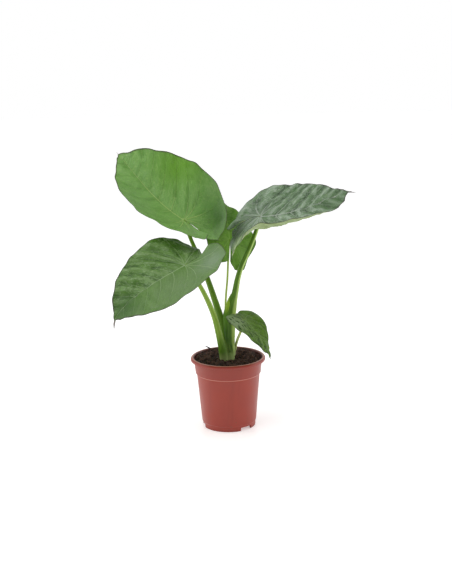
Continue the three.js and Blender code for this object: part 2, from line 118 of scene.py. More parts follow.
def wrap(
    middles: np.ndarray, along: np.ndarray, level: Point, wide: np.ndarray, deep: np.ndarray
) -> np.ndarray:
    """Lays sections round a course.

    Args:
        middles, along: points of the course and its directions, one row each.
        level: direction that no section's width leans towards.
        wide, deep: how far a section's points lie aside and in depth, one row for each section.

    Returns:
        The points, as sections by points by 3.
    """
    side = unit(np.cross(level, along))
    depth = np.cross(along, side)
    return middles[:, None] + wide[..., None] * side[:, None] + deep[..., None] * depth[:, None]


def make_object(name: str, points: np.ndarray, faces: list[Face], smooth: bool = True) -> Piece:
    """Makes a mesh object from points in millimetres.

    Args:
        name: the object's name.
        points: its points in millimetres, one row each.
        faces: point numbers of each face.
        smooth: whether its faces are shaded as one smooth surface.

    Returns:
        The object, linked to the scene.
    """
    mesh = bpy.data.meshes.new(name)
    mesh.from_pydata((np.asarray(points) * MM).tolist(), [], faces)
    mesh.update()
    mesh.polygons.foreach_set("use_smooth", np.full(len(mesh.polygons), smooth))
    made = bpy.data.objects.new(name, mesh)
    bpy.context.scene.collection.objects.link(made)
    return made


def tube_faces(rings: int, sides: int) -> list[Face]:
    """Faces of a tube of rings, closed at both ends.

    Args:
        rings: number of rings.
        sides: number of points in a ring.

    Returns:
        Point numbers of each face.
    """
    faces = []
    for start in range(0, (rings - 1) * sides, sides):
        for k in range(sides):
            a, b = start + k, start + (k + 1) % sides
            faces.append((a, b, b + sides, a + sides))
    return [*faces, tuple(reversed(range(sides))), tuple(range((rings - 1) * sides, rings * sides))]


def ring(radius: float, height: float, turns: np.ndarray) -> list[Point]:
    """Points at some turns round the plant's axis."""
    return [(radius * math.cos(turn), radius * math.sin(turn), height) for turn in turns]


def turned_solid(name: str, rings: list, ends: Pair, downward: bool = False) -> Piece:
    """Makes a solid of rings of points that closes in a point on the axis at both ends.

    Args:
        name: the object's name.
        rings: the points of each ring, from one end to the other.
        ends: heights of the two points on the axis.
        downward: whether the rings start at the top, which turns every face over.

    Returns:
        The solid.
    """
    points = np.vstack([(0, 0, ends[0]), *rings, (0, 0, ends[1])])
    count, end = len(rings[0]), len(points) - 1
    pairs = [(k, (k + 1) % count) for k in range(count)]
    faces = [(0, 1 + b, 1 + a) for a, b in pairs]
    for start in range(1, end - count, count):
        faces += [(start + a, start + b, start + b + count, start + a + count) for a, b in pairs]
    faces += [(end, end - count + a, end - count + b) for a, b in pairs]
    if downward:
        faces = [(face[0], *face[:0:-1]) for face in faces]
    return make_object(name, points, faces)


def shifted(faces: list[Face], start: int) -> list[Face]:
    """The same faces on points that are numbered from start."""
    return [tuple(point + start for point in face) for face in faces]


def add_attribute(piece: Piece, name: str, values: np.ndarray) -> None:
    """Stores one vector for each point of a piece, for its material to read."""
    made = piece.data.attributes.new(name, "FLOAT_VECTOR", "POINT")
    made.data.foreach_set("vector", np.asarray(values, np.float32).ravel())


def settle(piece: Piece, slot: str, *nodes: str) -> None:
    """Lets a piece ride on the plant and hides the solids that it stands for.

    Args:
        piece: the piece.
        slot: not used.
        nodes: names of the solids.
    """
    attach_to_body(piece, BODY)
    if nodes:
        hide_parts(*nodes)
    LOG.info("%s: %d faces", piece.name, len(piece.data.polygons))


# ---------------------------------------------------------------- shader wiring


class Wiring:
    """Adds nodes to one shader tree and links them. A value is a socket, a number or a colour."""

    def __init__(self, tree: Tree) -> None:
        """Takes the tree that the nodes go into."""
        self.tree = tree

    def add(self, kind: str, **settings: object) -> bpy.types.Node:
        """Adds a node.

        Args:
            kind: the node's type.
            settings: its options by name.

        Returns:
            The node.
        """
        node = self.tree.nodes.new(kind)
        for name, value in settings.items():
            setattr(node, name, value)
        return node

    def feed(self, socket: Socket, value: object) -> None:
        """Links a socket to another one, or sets its own value.

        Args:
            socket: the input.
            value: what it takes.
        """
        if isinstance(value, bpy.types.NodeSocket):
            self.tree.links.new(value, socket)
        elif isinstance(value, tuple) and len(value) == 3 and socket.type == "RGBA":
            socket.default_value = (*value, 1.0)
        else:
            socket.default_value = value

    def run(self, kind: str, output: int | str, inputs: dict, **settings: object) -> Socket:
        """Adds a node and feeds it.

        Args:
            kind: the node's type.
            output: name or number of the output that is wanted.
            inputs: the value of each input, by name or number.
            settings: the node's options by name.

        Returns:
            The output.
        """
        node = self.add(kind, **settings)
        for name, value in inputs.items():
            self.feed(node.inputs[name], value)
        return node.outputs[output]

    def math(self, operation: str, *values: object) -> Socket:
        """Result of a math node."""
        return self.run("ShaderNodeMath", 0, dict(enumerate(values)), operation=operation)

    def times(self, first: object, second: object) -> Socket:
        """Product of two values."""
        return self.math("MULTIPLY", first, second)

    def gap(self, first: object, second: object) -> Socket:
        """Difference between two values, never below zero."""
        return self.math("ABSOLUTE", self.math("SUBTRACT", first, second))

    def total(self, *shares: tuple[Socket, float]) -> Socket:
        """Adds up values.

        Args:
            shares: each value and the factor that it counts with.

        Returns:
            The sum.
        """
        first, *others = (self.times(value, factor) for value, factor in shares)
        for other in others:
            first = self.math("ADD", first, other)
        return first

    def remap(
        self, value: object, low: object, high: object, start: float = 0.0, end: float = 1.0
    ) -> Socket:
        """Smooth change from start, where value is low, to end, where it is high."""
        inputs = dict(enumerate((value, low, high, start, end)))
        return self.run("ShaderNodeMapRange", 0, inputs, interpolation_type="SMOOTHSTEP")

    def noise(self, place: Socket, scale: object, detail: float = 3.0) -> Socket:
        """Smooth random value from 0 to 1 at a place."""
        return self.run("ShaderNodeTexNoise", "Fac", {"Vector": place, "Scale": scale, "Detail": detail})

    def cells(self, place: Socket, scale: float, feature: str = "F1") -> Socket:
        """Distance in a pattern of random cells."""
        inputs = {"Vector": place, "Scale": scale}
        return self.run("ShaderNodeTexVoronoi", "Distance", inputs, feature=feature)

    def stretch(self, place: Socket, scale: Point) -> Socket:
        """Scales a place by a different amount along each axis."""
        return self.run("ShaderNodeVectorMath", 0, {0: place, 1: scale}, operation="MULTIPLY")

    def blend(self, share: object, first: object, second: object) -> Socket:
        """Colour between first, at 0, and second, at 1."""
        return self.run("ShaderNodeMix", 2, {0: share, 6: first, 7: second}, data_type="RGBA")

    def layers(self, colour: object, *coats: tuple[object, object]) -> Socket:
        """Lays colours over one another.

        Args:
            colour: the lowest one.
            coats: the mask and the colour of each one above it, from the lowest up.

        Returns:
            The colour that is seen.
        """
        for mask, other in coats:
            colour = self.blend(mask, colour, other)
        return colour

    def bump(self, height: Socket, distance: float, strength: float = 1.0) -> Socket:
        """Normal of a surface that stands out by height times distance, in metres."""
        inputs = {"Height": height, "Distance": distance, "Strength": strength}
        return self.run("ShaderNodeBump", "Normal", inputs)

    def attribute(self, name: str) -> Socket:
        """Vector that a piece stores at its points."""
        return self.add("ShaderNodeAttribute", attribute_name=name).outputs["Vector"]

    def on_piece(self) -> Socket:
        """Place on a piece, in metres."""
        return self.add("ShaderNodeTexCoord").outputs["Object"]

    def parts(self, vector: Socket) -> tuple[Socket, Socket, Socket]:
        """The three parts of a vector."""
        return tuple(self.run("ShaderNodeSeparateXYZ", 0, {0: vector}).node.outputs)

    def use(self, group: Tree, **inputs: object) -> dict[str, Socket]:
        """Places a node group and gives its outputs by name."""
        first = self.run("ShaderNodeGroup", 0, inputs, node_tree=group)
        return {socket.name: socket for socket in first.node.outputs}


class Surface(Wiring):
    """A new material with one surface shader, and the wiring of its tree."""

    def __init__(self, name: str) -> None:
        """Makes the material.

        Args:
            name: its name.
        """
        self.material = bpy.data.materials.new(name)
        self.material.use_nodes = True
        super().__init__(self.material.node_tree)

    def finish(self, inputs: dict[str, object]) -> Material:
        """Feeds the surface shader.

        Args:
            inputs: the value of each of its inputs, by name.

        Returns:
            The material.
        """
        shader = self.tree.nodes["Principled BSDF"]
        for name, value in inputs.items():
            self.feed(shader.inputs[name], value)
        return self.material


class Effect(Wiring):
    """A shader node group with named inputs and outputs."""

    def __init__(self, name: str, inputs: dict[str, str], outputs: list[str]) -> None:
        """Makes the empty group.

        Args:
            name: the group's name.
            inputs: what each input's name takes, Vector or Float.
            outputs: names of the outputs, which are plain values.
        """
        super().__init__(bpy.data.node_groups.new(name, "ShaderNodeTree"))
        sockets = [(label, "INPUT", kind) for label, kind in inputs.items()]
        for label, way, kind in (*sockets, *((label, "OUTPUT", "Float") for label in outputs)):
            self.tree.interface.new_socket(label, in_out=way, socket_type=f"NodeSocket{kind}")
        source = self.add("NodeGroupInput")
        self.given = {socket.name: socket for socket in source.outputs if socket.name}
        self.sink = self.add("NodeGroupOutput")

    def put_out(self, name: str, value: Socket) -> None:
        """Links a value to one of the group's outputs."""
        self.feed(self.sink.inputs[name], value)


@dataclass
class EffectShelf:
    """The node groups that the plant's materials share, each built once."""

    veins: Tree | None = None
    streaks: Tree | None = None
    blotches: Tree | None = None

    def build(self) -> None:
        """Builds every shared group."""
        self.veins, self.streaks = self.build_veins(), self.build_streaks()
        self.blotches = self.build_blotches()

    def build_veins(self) -> Tree:
        """Veins of a leaf: midrib, side veins, fine veins, and masks of painted shade and sheen between them.

        Returns:
            The group. Vein holds the count of side veins, their spacing and the reach from the
            stalk to the margin. Flat holds the place on the flattened blade.
        """
        w = Effect("leaf_veins", {"Vein": "Vector", "Flat": "Vector", "Width": "Float"}, [
            "Midrib", "Side veins", "Fine veins", "Valleys", "Ridges", "Streaks", "Creases", "Folds"])
        flat = w.given["Flat"]
        count, spacing, reach = w.parts(w.given["Vein"])
        along, across, _ = w.parts(flat)
        width = w.times(w.given["Width"], w.remap(reach, 0.0, 1.0, 1.0, 0.3))

        def line(number: float, thick: Socket) -> Socket:
            """Mask of evenly spaced veins.

            Args:
                number: how many of them there are to each side vein.
                thick: their half width in metres.

            Returns:
                The mask.
            """
            turns = w.math("FRACT", w.math("ADD", w.times(count, number), 0.5))
            off = w.math("DIVIDE", w.times(w.gap(turns, 0.5), spacing), number)
            return w.remap(off, w.times(thick, 0.3), thick, 1.0, 0.0)

        fine = line(5.0, w.times(width, 0.5))
        net = w.times(w.remap(w.cells(flat, 260.0, "DISTANCE_TO_EDGE"), 0.0, 0.1, 1.0, 0.0), 0.5)
        rib_width = w.times(width, 1.5)
        rib = w.remap(w.math("ABSOLUTE", across), w.times(rib_width, 0.4), rib_width, 1.0, 0.0)
        rib_ahead = w.times(rib, w.remap(along, -0.001, 0.003))
        w.put_out("Midrib", w.math("MAXIMUM", rib_ahead, w.remap(reach, 0.0, 0.04, 1.0, 0.0)))
        w.put_out("Side veins", line(1.0, width))
        w.put_out("Fine veins", w.math("MAXIMUM", fine, net))

        # The valleys (painted shade) and the ridges (painted sheen) follow the side veins,
        # wander a little and break off here and there.
        wander = w.math("SUBTRACT", w.noise(flat, 30.0, 2.0), 0.5)
        bent = w.math("ADD", count, w.times(wander, 0.8))
        place = w.run("ShaderNodeCombineXYZ", 0, {
            0: w.times(count, 1.7), 1: w.times(reach, 3.0), 2: w.times(across, 14.0)})
        broken = w.noise(place, 1.3, 2.0)
        grown = w.remap(reach, 0.02, 0.2)
        from_vein = w.gap(w.math("FRACT", w.math("ADD", bent, 0.5)), 0.5)
        from_crest = w.gap(w.math("FRACT", bent), 0.42)
        for name, off, near, far, less, more in (("Valleys", from_vein, 0.06, 0.3, 0.6, 0.42),
                                                 ("Ridges", from_crest, 0.04, 0.34, 0.38, 0.56)):
            band = w.times(w.remap(off, near, far, 1.0, 0.0), grown)
            w.put_out(name, w.times(band, w.remap(broken, less, more)))
        w.put_out("Streaks", w.noise(place, 2.1, 3.0))
        # Creases take a painted highlight, and folds a painted shadow beside them.
        crinkle = w.noise(place, 3.0, 2.0)
        for name, level in (("Creases", 0.53), ("Folds", 0.46)):
            w.put_out(name, w.times(w.remap(w.gap(crinkle, level), 0.0, 0.035, 1.0, 0.0), grown))
        return w.tree

    def build_streaks(self) -> Tree:
        """Long streaks and small flecks of a stalk.

        Returns:
            The group. Place holds the direction round the stalk and the height along it.
        """
        w = Effect("stalk_streaks", {"Place": "Vector"}, ["Streaks", "Flecks", "Ridges"])
        streaks, flecks, ridges = (
            w.noise(w.stretch(w.given["Place"], (1.0, 1.0, lengthwise)), scale, detail)
            for lengthwise, scale, detail in ((9.0, 3.2, 4.0), (90.0, 5.0, 2.0), (1.5, 9.0, 2.0)))
        w.put_out("Streaks", w.remap(streaks, 0.35, 0.68))
        w.put_out("Flecks", w.remap(flecks, 0.66, 0.74))
        w.put_out("Ridges", ridges)
        return w.tree

    def build_blotches(self) -> Tree:
        """Uneven tone at two sizes, with a few dusty spots.

        Returns:
            The group. Place is in metres, and Size is the width of the large patches in metres.
        """
        w = Effect("uneven_tone", {"Place": "Vector", "Size": "Float"}, ["Patches", "Grain", "Spots"])
        place = w.given["Place"]
        patches = w.noise(place, w.math("DIVIDE", 1.0, w.given["Size"]), 2.0)
        w.put_out("Patches", w.remap(patches, 0.3, 0.7))
        w.put_out("Grain", w.noise(place, 900.0, 3.0))
        spots = w.remap(w.cells(place, 130.0), 0.12, 0.24, 1.0, 0.0)
        w.put_out("Spots", w.times(spots, w.remap(w.noise(place, 40.0, 2.0), 0.5, 0.62)))
        return w.tree


# ---------------------------------------------------------------- finishes


class LeafSide(Enum):
    """The two faces of a leaf."""

    UPPER = "upper"
    UNDER = "under"


@dataclass(frozen=True)
class ToneAndLightPatch:
    """A soft round patch of own tone or painted light, sized and placed in shares of the leaf's length."""

    along: float
    across: float
    radius: float
    colour: Colour
    strength: float

    def mask(self, w: Wiring, flat: Socket, length: float) -> Socket:
        """Mask of the patch.

        Args:
            w: the material's wiring.
            flat: place on the flattened blade.
            length: the leaf's length in metres.

        Returns:
            The mask.
        """
        middle = (self.along * length, self.across * length, 0)
        off = w.run("ShaderNodeVectorMath", "Value", {0: flat, 1: middle}, operation="DISTANCE")
        return w.remap(off, 0.0, self.radius * length, self.strength, 0.0)


@dataclass(frozen=True)
class LeafFinish:
    """Colours, gloss and relief of one leaf.

    valley_show to spot_show say how strongly the unevenness of the blade shows, on its left and
    its right half: valleys along the veins in painted shade, ridges between them in painted sheen,
    fine creases in painted highlight and shadow, and short dark dashes. The side veins show out to
    vein_reach, as a share of the way to the margin. ridge is the painted sheen's colour, and deep
    also serves for the painted shade.
    """

    body: Colour
    deep: Colour
    bright: Colour
    vein: Colour
    under: Colour
    ridge: Colour
    # Patches hold the leaf's own tone as well as painted sheen, light and shade.
    tone_and_light_patches: tuple[ToneAndLightPatch, ...]
    valley_show: Pair = (0.6, 0.6)
    ridge_show: Pair = (0.3, 0.3)
    crease_show: Pair = (0.2, 0.2)
    spot_show: Pair = (0.0, 0.0)
    streak_show: float = 0.35
    vein_show: float = 0.3
    vein_reach: float = 1.6
    fine_show: float = 0.1
    vein_width: float = 0.0011
    roughness: float = 0.4
    gloss: float = 0.35
    relief: float = 0.6
    rim: Colour = tint(52, 46, 40)
    tip: Colour = tint(128, 118, 114)

    def dress(self, name: str, side: LeafSide, shelf: EffectShelf, length: float) -> Material:
        """Makes the material of one face.

        Args:
            name: the leaf's name.
            side: which face.
            shelf: the shared node groups.
            length: the leaf's length in metres.

        Returns:
            The material.
        """
        w = Surface(f"{name}_{side.value}")
        vein, flat = w.attribute("leaf_vein"), w.attribute("leaf_flat")
        veins = w.use(shelf.veins, Vein=vein, Flat=flat, Width=self.vein_width)
        tone = w.use(shelf.blotches, Place=flat, Size=0.03)
        _, _, reach = w.parts(vein)
        along, across, _ = w.parts(flat)
        upper = side is LeafSide.UPPER
        body, deep, bright, light, ridge = (
            self.body, self.deep, self.bright, self.vein, self.ridge) if upper else (
            shade(self.under, factor) for factor in (1.0, 0.62, 1.2, 1.3, 1.2))
        show, sunken = (1.0, -1.0) if upper else (0.5, 1.0)
        rough, gloss = (self.roughness, self.gloss) if upper else (self.roughness + 0.2, 0.3)

        def on_halves(mask: Socket, strengths: Pair) -> Socket:
            """Mask with its own strength on the left and on the right half."""
            left, right = strengths
            return w.times(mask, w.remap(across, -0.004, 0.004, right * show, left * show))

        near = w.remap(reach, 0.5 * self.vein_reach, self.vein_reach, 1.0, 0.15)
        streak = self.streak_show * show
        # Valleys and folds are laid as painted shade, ridges as painted sheen, and creases as painted
        # highlights.
        colour = w.layers(
            body, (w.times(tone["Patches"], 0.4 * show), bright),
            (on_halves(veins["Valleys"], self.valley_show), deep),
            (on_halves(veins["Ridges"], self.ridge_show), ridge),
            (on_halves(veins["Folds"], self.crease_show), deep),
            (on_halves(veins["Creases"], self.crease_show), light),
            (w.times(w.remap(veins["Streaks"], 0.52, 0.7), streak), bright),
            (w.times(w.remap(veins["Streaks"], 0.48, 0.3), streak), deep),
            *((patch.mask(w, flat, length), patch.colour) for patch in (self.tone_and_light_patches if upper else ())),
            (on_halves(self.dash_mask(w, flat), self.spot_show), deep),
            (w.times(veins["Fine veins"], self.fine_show), light),
            (w.times(veins["Side veins"], w.times(near, self.vein_show)), light),
            (w.times(veins["Midrib"], min(1.0, 1.5 * self.vein_show)), light),
            (w.remap(reach, 0.974, 0.996, 0.0, 0.85), self.rim),
            (w.remap(along, 0.985 * length, 1.01 * length), self.tip))
        lines = w.math("MAXIMUM", veins["Side veins"], veins["Midrib"])
        crinkle = w.math("SUBTRACT", veins["Creases"], veins["Folds"])
        height = w.total((lines, 0.7 * sunken), (veins["Fine veins"], 0.3 * sunken), (veins["Streaks"], 1.6),
                         (crinkle, 0.5 * max(self.crease_show)), (tone["Grain"], 0.12))
        return w.finish({
            "Base Color": colour, "Specular IOR Level": gloss,
            "Roughness": w.remap(veins["Streaks"], 0.3, 0.7, rough - 0.07, rough + 0.09),
            "Subsurface Weight": 0.1, "Subsurface Radius": (0.6, 1.0, 0.25), "Subsurface Scale": 0.0015,
            "Normal": w.bump(height, 0.0012, self.relief)})

    def dash_mask(self, w: Wiring, flat: Socket) -> Socket:
        """Mask of short dashes that run along the blade, from the place on the flattened blade."""
        dashes = w.remap(w.cells(w.stretch(flat, (0.42, 1.0, 1.0)), 170.0), 0.3, 0.48, 1.0, 0.0)
        return w.times(dashes, w.remap(w.noise(flat, 70.0, 2.0), 0.36, 0.46))


@dataclass(frozen=True)
class StalkFinish:
    """Colours of one stalk, from its foot to its blade, with heights in metres.

    A pale band of edge colour runs along the stalk. edge_turn is where round the stalk it lies, 0 on
    the right and -90 at the front, and edge_spread its half width, in degrees. Each entry of lower
    is where a colour begins, where it is full, and the colour.
    """

    body: Colour
    light: Colour
    # dark is painted shade, laid towards the back of the stalk.
    dark: Colour
    foot: Colour = tint(200, 214, 150)
    fleck: Colour = tint(74, 92, 36)
    roughness: float = 0.38
    edge_turn: float | None = None
    edge_spread: float = 16.0
    edge: Colour = tint(178, 200, 122)
    lower: tuple[tuple[float, float, Colour], ...] = ()

    def edge_mask(self, w: Wiring, side: Socket, depth: Socket) -> Socket:
        """Mask of the pale band.

        Args:
            w: the material's wiring.
            side, depth: direction round the stalk, as parts to the right and to the back.

        Returns:
            The mask.
        """
        turn, spread = math.radians(self.edge_turn), math.radians(self.edge_spread)
        facing = w.total((side, math.cos(turn)), (depth, math.sin(turn)))
        return w.times(w.remap(facing, math.cos(spread), math.cos(0.45 * spread)), 0.8)

    def dress(self, name: str, shelf: EffectShelf) -> Material:
        """Makes the stalk's material.

        Args:
            name: the piece's name.
            shelf: the shared node groups.

        Returns:
            The material.
        """
        w = Surface(name)
        place = w.attribute("stalk_place")
        effect = w.use(shelf.streaks, Place=place)
        side, depth, height = w.parts(place)
        edges = [] if self.edge_turn is None else [(self.edge_mask(w, side, depth), self.edge)]
        # The dark colour goes on towards the back of the stalk as painted shade.
        colour = w.layers(
            self.body, (effect["Streaks"], self.light), (w.remap(depth, -0.1, 0.9, 0.0, 0.55), self.dark),
            (w.times(effect["Flecks"], 0.35), self.fleck), *edges,
            *((w.remap(height, full, start, 1.0, 0.0), other) for start, full, other in self.lower),
            (w.remap(height, 0.15, 0.182, 0.75, 0.0), self.foot))
        rough = w.remap(effect["Streaks"], 0.0, 1.0, self.roughness + 0.06, self.roughness - 0.05)
        return w.finish({
            "Base Color": colour, "Roughness": rough, "Specular IOR Level": 0.25,
            "Subsurface Weight": 0.15, "Subsurface Radius": (0.5, 1.0, 0.2), "Subsurface Scale": 0.003,
            "Normal": w.bump(effect["Ridges"], 0.0007, 0.5)})


@dataclass(frozen=True)
class PotFinish:
    """Terracotta-coloured moulded plastic, softly shiny and a little scuffed, with painted shade and
    highlights.
    """

    body: Colour = tint(151, 48, 30)
    pale: Colour = tint(174, 66, 44)
    dark: Colour = tint(104, 30, 20)
    dirt: Colour = tint(88, 70, 40)
    # The next three colours are painted shade on the lip's inner face, a painted highlight on the lip's crest
    # and a painted highlight along the step.
    inside: Colour = tint(58, 34, 28)
    crest: Colour = tint(206, 146, 130)
    step_highlight: Colour = tint(214, 150, 132)
    roughness: float = 0.36

    def dress(self, shelf: EffectShelf, step: float) -> Material:
        """Makes the pot's material.

        Args:
            shelf: the shared node groups.
            step: height of the small step under the collar, in metres.

        Returns:
            The material.
        """
        w = Surface("pot_plastic")
        place = w.on_piece()
        tone = w.use(shelf.blotches, Place=place, Size=0.045)
        x, y, height = w.parts(place)
        radius = w.math("SQRT", w.math("ADD", w.times(x, x), w.times(y, y)))
        streaks = w.noise(w.stretch(place, (1.0, 1.0, 0.12)), 55.0, 3.0)
        # Painted shade on the lip's inner face above the potting mix.
        inside = w.times(w.remap(radius, 0.0785, 0.0805, 1.0, 0.0), w.remap(height, 0.1545, 0.1565))
        # Painted highlight along the lip's crest.
        crest = w.times(w.remap(height, 0.161, 0.1617), w.remap(radius, 0.0785, 0.0797))
        low = w.math("ADD", w.remap(height, 0.008, 0.05, 1.0, 0.0), 0.12)
        colour = w.layers(
            self.body, (w.times(tone["Patches"], 0.22), self.pale),
            (w.remap(streaks, 0.55, 0.8, 0.0, 0.22), self.dark),
            # The collar is painted a little darker, as shade under the lip.
            (w.remap(height, step, step + 0.003, 0.0, 0.14), self.dark),
            (w.times(inside, 0.75), self.inside), (w.times(crest, 0.7), self.crest),
            # Painted highlight along the step.
            (w.remap(w.gap(height, step), 0.0004, 0.0016, 0.55, 0.0), self.step_highlight),
            (w.times(w.times(low, tone["Spots"]), 0.6), self.dirt),
            (w.remap(height, 0.0015, 0.006, 0.35, 0.0), self.dark))
        rough = w.remap(tone["Patches"], 0.0, 1.0, self.roughness - 0.04, self.roughness + 0.08)
        normal = w.bump(tone["Grain"], 0.00012, 0.5)
        return w.finish({"Base Color": colour, "Roughness": rough, "Normal": normal})


@dataclass(frozen=True)
class SoilFinish:
    """Damp, fibrous potting mix."""

    dark: Colour = tint(16, 10, 8)
    mid: Colour = tint(80, 58, 48)
    reddish: Colour = tint(140, 84, 62)
    roughness: float = 0.86

    def dress(self, name: str, lightness: float = 0.0) -> Material:
        """Makes the material of the bed, or of lighter pieces that lie on it.

        Args:
            name: the material's name.
            lightness: share of the lighter, redder tone.

        Returns:
            The material.
        """
        w = Surface(name)
        place = w.on_piece()
        coarse, fine = w.noise(place, 130.0, 5.0), w.noise(place, 1400.0, 4.0)
        fleck = w.remap(fine, 0.57 - 0.14 * lightness, 0.62, 0.0, 0.75 + 0.25 * lightness)
        colour = w.layers(self.dark, (w.remap(coarse, 0.48, 0.56), self.mid), (fleck, self.reddish))
        rough = w.remap(coarse, 0.3, 0.7, self.roughness - 0.16, self.roughness)
        normal = w.bump(w.math("ADD", coarse, w.times(fine, 0.3)), 0.004, 1.0)
        return w.finish({"Base Color": colour, "Roughness": rough, "Normal": normal})


# ---------------------------------------------------------------- leaves

SINUS_DEPTH = 0.045  # how far behind the stalk the cut between the lobes ends, in leaf lengths
VEINS_AHEAD = 6  # side veins along the midrib, on each side
FAN_STEP = 21  # degrees between the veins that fan out behind the first one
FAN_GAP = 17  # degrees that stand for the room between two of them
RIM_REACHES = (0.992, 1.0)  # the two outermost loops of a blade, which thin out to its rim
GRID = np.linspace(0, 1.12, 113)  # places along the midrib where its bend is added up


def mixed(pair: Pair, leftness: np.ndarray) -> np.ndarray:
    """Value between the right half's and the left half's."""
    return pair[1] + (pair[0] - pair[1]) * leftness


def bent(degrees: np.ndarray) -> np.ndarray:
    """A bend in radians, kept off zero so that its radius is finite."""
    radians = np.radians(degrees)
    return np.where(np.abs(radians) < FLAT, FLAT, radians)


@dataclass(frozen=True)
class StalkForm:
    """Course and section of one stalk, in millimetres.

    Each entry of path is x, y and z, half width and half depth, from the buried foot to the blade.
    """

    path: tuple[tuple[float, float, float, float, float], ...]
    rounding: float = 3.5
    edge_depth: float = -0.4

    def course(self, steps: int) -> tuple[np.ndarray, np.ndarray, np.ndarray]:
        """Follows the stalk.

        Args:
            steps: number of stretches between two points of the path.

        Returns:
            Middle points, directions, and half width and half depth, one row for each place.
        """
        rows = np.array(self.path)
        knots = np.vstack([2 * rows[0] - rows[1], rows, 2 * rows[-1] - rows[-2]])[:, :3]
        middles, tangents, sizes = [], [], []
        for cell in range(len(rows) - 1):
            points = knots[cell : cell + 4]
            gaps = np.sqrt(np.linalg.norm(np.diff(points, axis=0), axis=1))
            first, second, third = gaps
            leave = (points[1] - points[0]) / first - (points[2] - points[0]) / (first + second)
            leave = (leave + (points[2] - points[1]) / second) * second
            arrive = (points[2] - points[1]) / second - (points[3] - points[1]) / (second + third)
            arrive = (arrive + (points[3] - points[2]) / third) * second
            cubic = 2 * points[1] - 2 * points[2] + leave + arrive
            square = -3 * points[1] + 3 * points[2] - 2 * leave - arrive
            last = cell == len(rows) - 2
            for share in np.linspace(0, 1, steps + 1)[: steps + 1 if last else steps]:
                middles.append(cubic * share**3 + square * share**2 + leave * share + points[1])
                tangents.append(3 * cubic * share**2 + 2 * square * share + leave)
                sizes.append(rows[cell, 3:] + (rows[cell + 1, 3:] - rows[cell, 3:]) * share)
        return np.array(middles), unit(np.array(tangents)), np.array(sizes)

    def places(self, middles: np.ndarray, turns: np.ndarray) -> np.ndarray:
        """Directions round the stalk and heights, for the material.

        Args:
            middles: points of the course, one row each.
            turns: angles round the stalk, the same for every row or one row each.

        Returns:
            One row for each point.
        """
        turns = np.broadcast_to(turns, (len(middles), turns.shape[-1]))
        heights = np.broadcast_to(middles[:, 2:] * MM, turns.shape)
        return np.stack([np.cos(turns), np.sin(turns), heights], -1).reshape(-1, 3)

    def sweep(self, name: str, sides: int = 28, steps: int = 12) -> Piece:
        """Builds the stalk as a closed tube whose top is rounded off inside the blade.

        Args:
            name: the object's name.
            sides: number of sides round the stalk.
            steps: number of stretches between two points of the path.

        Returns:
            The stalk.
        """
        middles, tangents, sizes = self.course(steps)
        travelled = np.concatenate([[0], np.cumsum(np.linalg.norm(np.diff(middles, axis=0), axis=1))])
        close = np.clip((travelled[-1] - travelled) / self.rounding, 0.0, 1.0)
        sizes = sizes * np.sqrt(np.clip(1 - (1 - close) ** 2, 0.03, 1.0))[:, None]
        turns = np.linspace(0, TURN, sides, endpoint=False)
        ridges = 1 + 0.012 * np.cos(7 * turns) + 0.008 * np.cos(11 * turns + 1)
        wide, deep = (size * (curve * ridges) for size, curve in
                      ((sizes[:, :1], np.cos(turns)), (sizes[:, 1:], np.sin(turns))))
        points = wrap(middles, tangents, (0, 1, 0), wide, deep)
        made = make_object(name, points.reshape(-1, 3), tube_faces(len(middles), sides))
        add_attribute(made, "stalk_place", self.places(middles, turns))
        return made

    def sheath(self, name: str, low: float, high: float, span: Pair, gap: float = 0.7) -> Piece:
        """Builds a thin sheath that wraps part of the stalk and runs out in a shoulder.

        Args:
            name: the object's name.
            low, high: heights between which it shows, in millimetres.
            span: the turns round the stalk where it starts and ends, in degrees.
            gap: how far it stands off the stalk, in millimetres.

        Returns:
            The sheath.
        """
        middles, tangents, sizes = self.course(14)
        kept = (middles[:, 2] >= low) & (middles[:, 2] <= high)
        middles, tangents, sizes = middles[kept], tangents[kept], sizes[kept]
        share = (middles[:, 2] - middles[0, 2]) / (middles[-1, 2] - middles[0, 2])
        narrow = 1 - ease(share, 0.82, 1.0) * 0.93
        centre, half = math.radians(sum(span) / 2), math.radians(abs(span[1] - span[0]) / 2)
        strip = np.linspace(-1, 1, 25)
        turns = centre + half * narrow[:, None] * strip[None]
        sharpen = 1 - 0.85 * np.abs(strip[None]) ** 6
        points = []
        for lift in (gap, self.edge_depth):
            wide = (sizes[:, :1] + lift * sharpen) * np.cos(turns)
            deep = (sizes[:, 1:] + lift * sharpen) * np.sin(turns)
            points.append(wrap(middles, tangents, (0, 1, 0), wide, deep).reshape(-1, 3))
        outer = np.arange(turns.size).reshape(turns.shape)
        inner = outer + turns.size
        (count, width), faces = turns.shape, []
        for i in range(count - 1):
            for k in range(width - 1):
                faces.append((outer[i, k], outer[i, k + 1], outer[i + 1, k + 1], outer[i + 1, k]))
                faces.append((inner[i, k], inner[i + 1, k], inner[i + 1, k + 1], inner[i, k + 1]))
            for k, turned in ((0, 1), (width - 1, -1)):
                faces.append((outer[i, k], outer[i + 1, k], inner[i + 1, k], inner[i, k])[::turned])
        for i, turned in ((0, -1), (count - 1, 1)):
            for k in range(width - 1):
                faces.append((outer[i, k], outer[i, k + 1], inner[i, k + 1], inner[i, k])[::turned])
        made = make_object(name, np.vstack(points), [tuple(map(int, face)) for face in faces])
        add_attribute(made, "stalk_place", np.tile(self.places(middles, turns), (2, 1)))
        return made


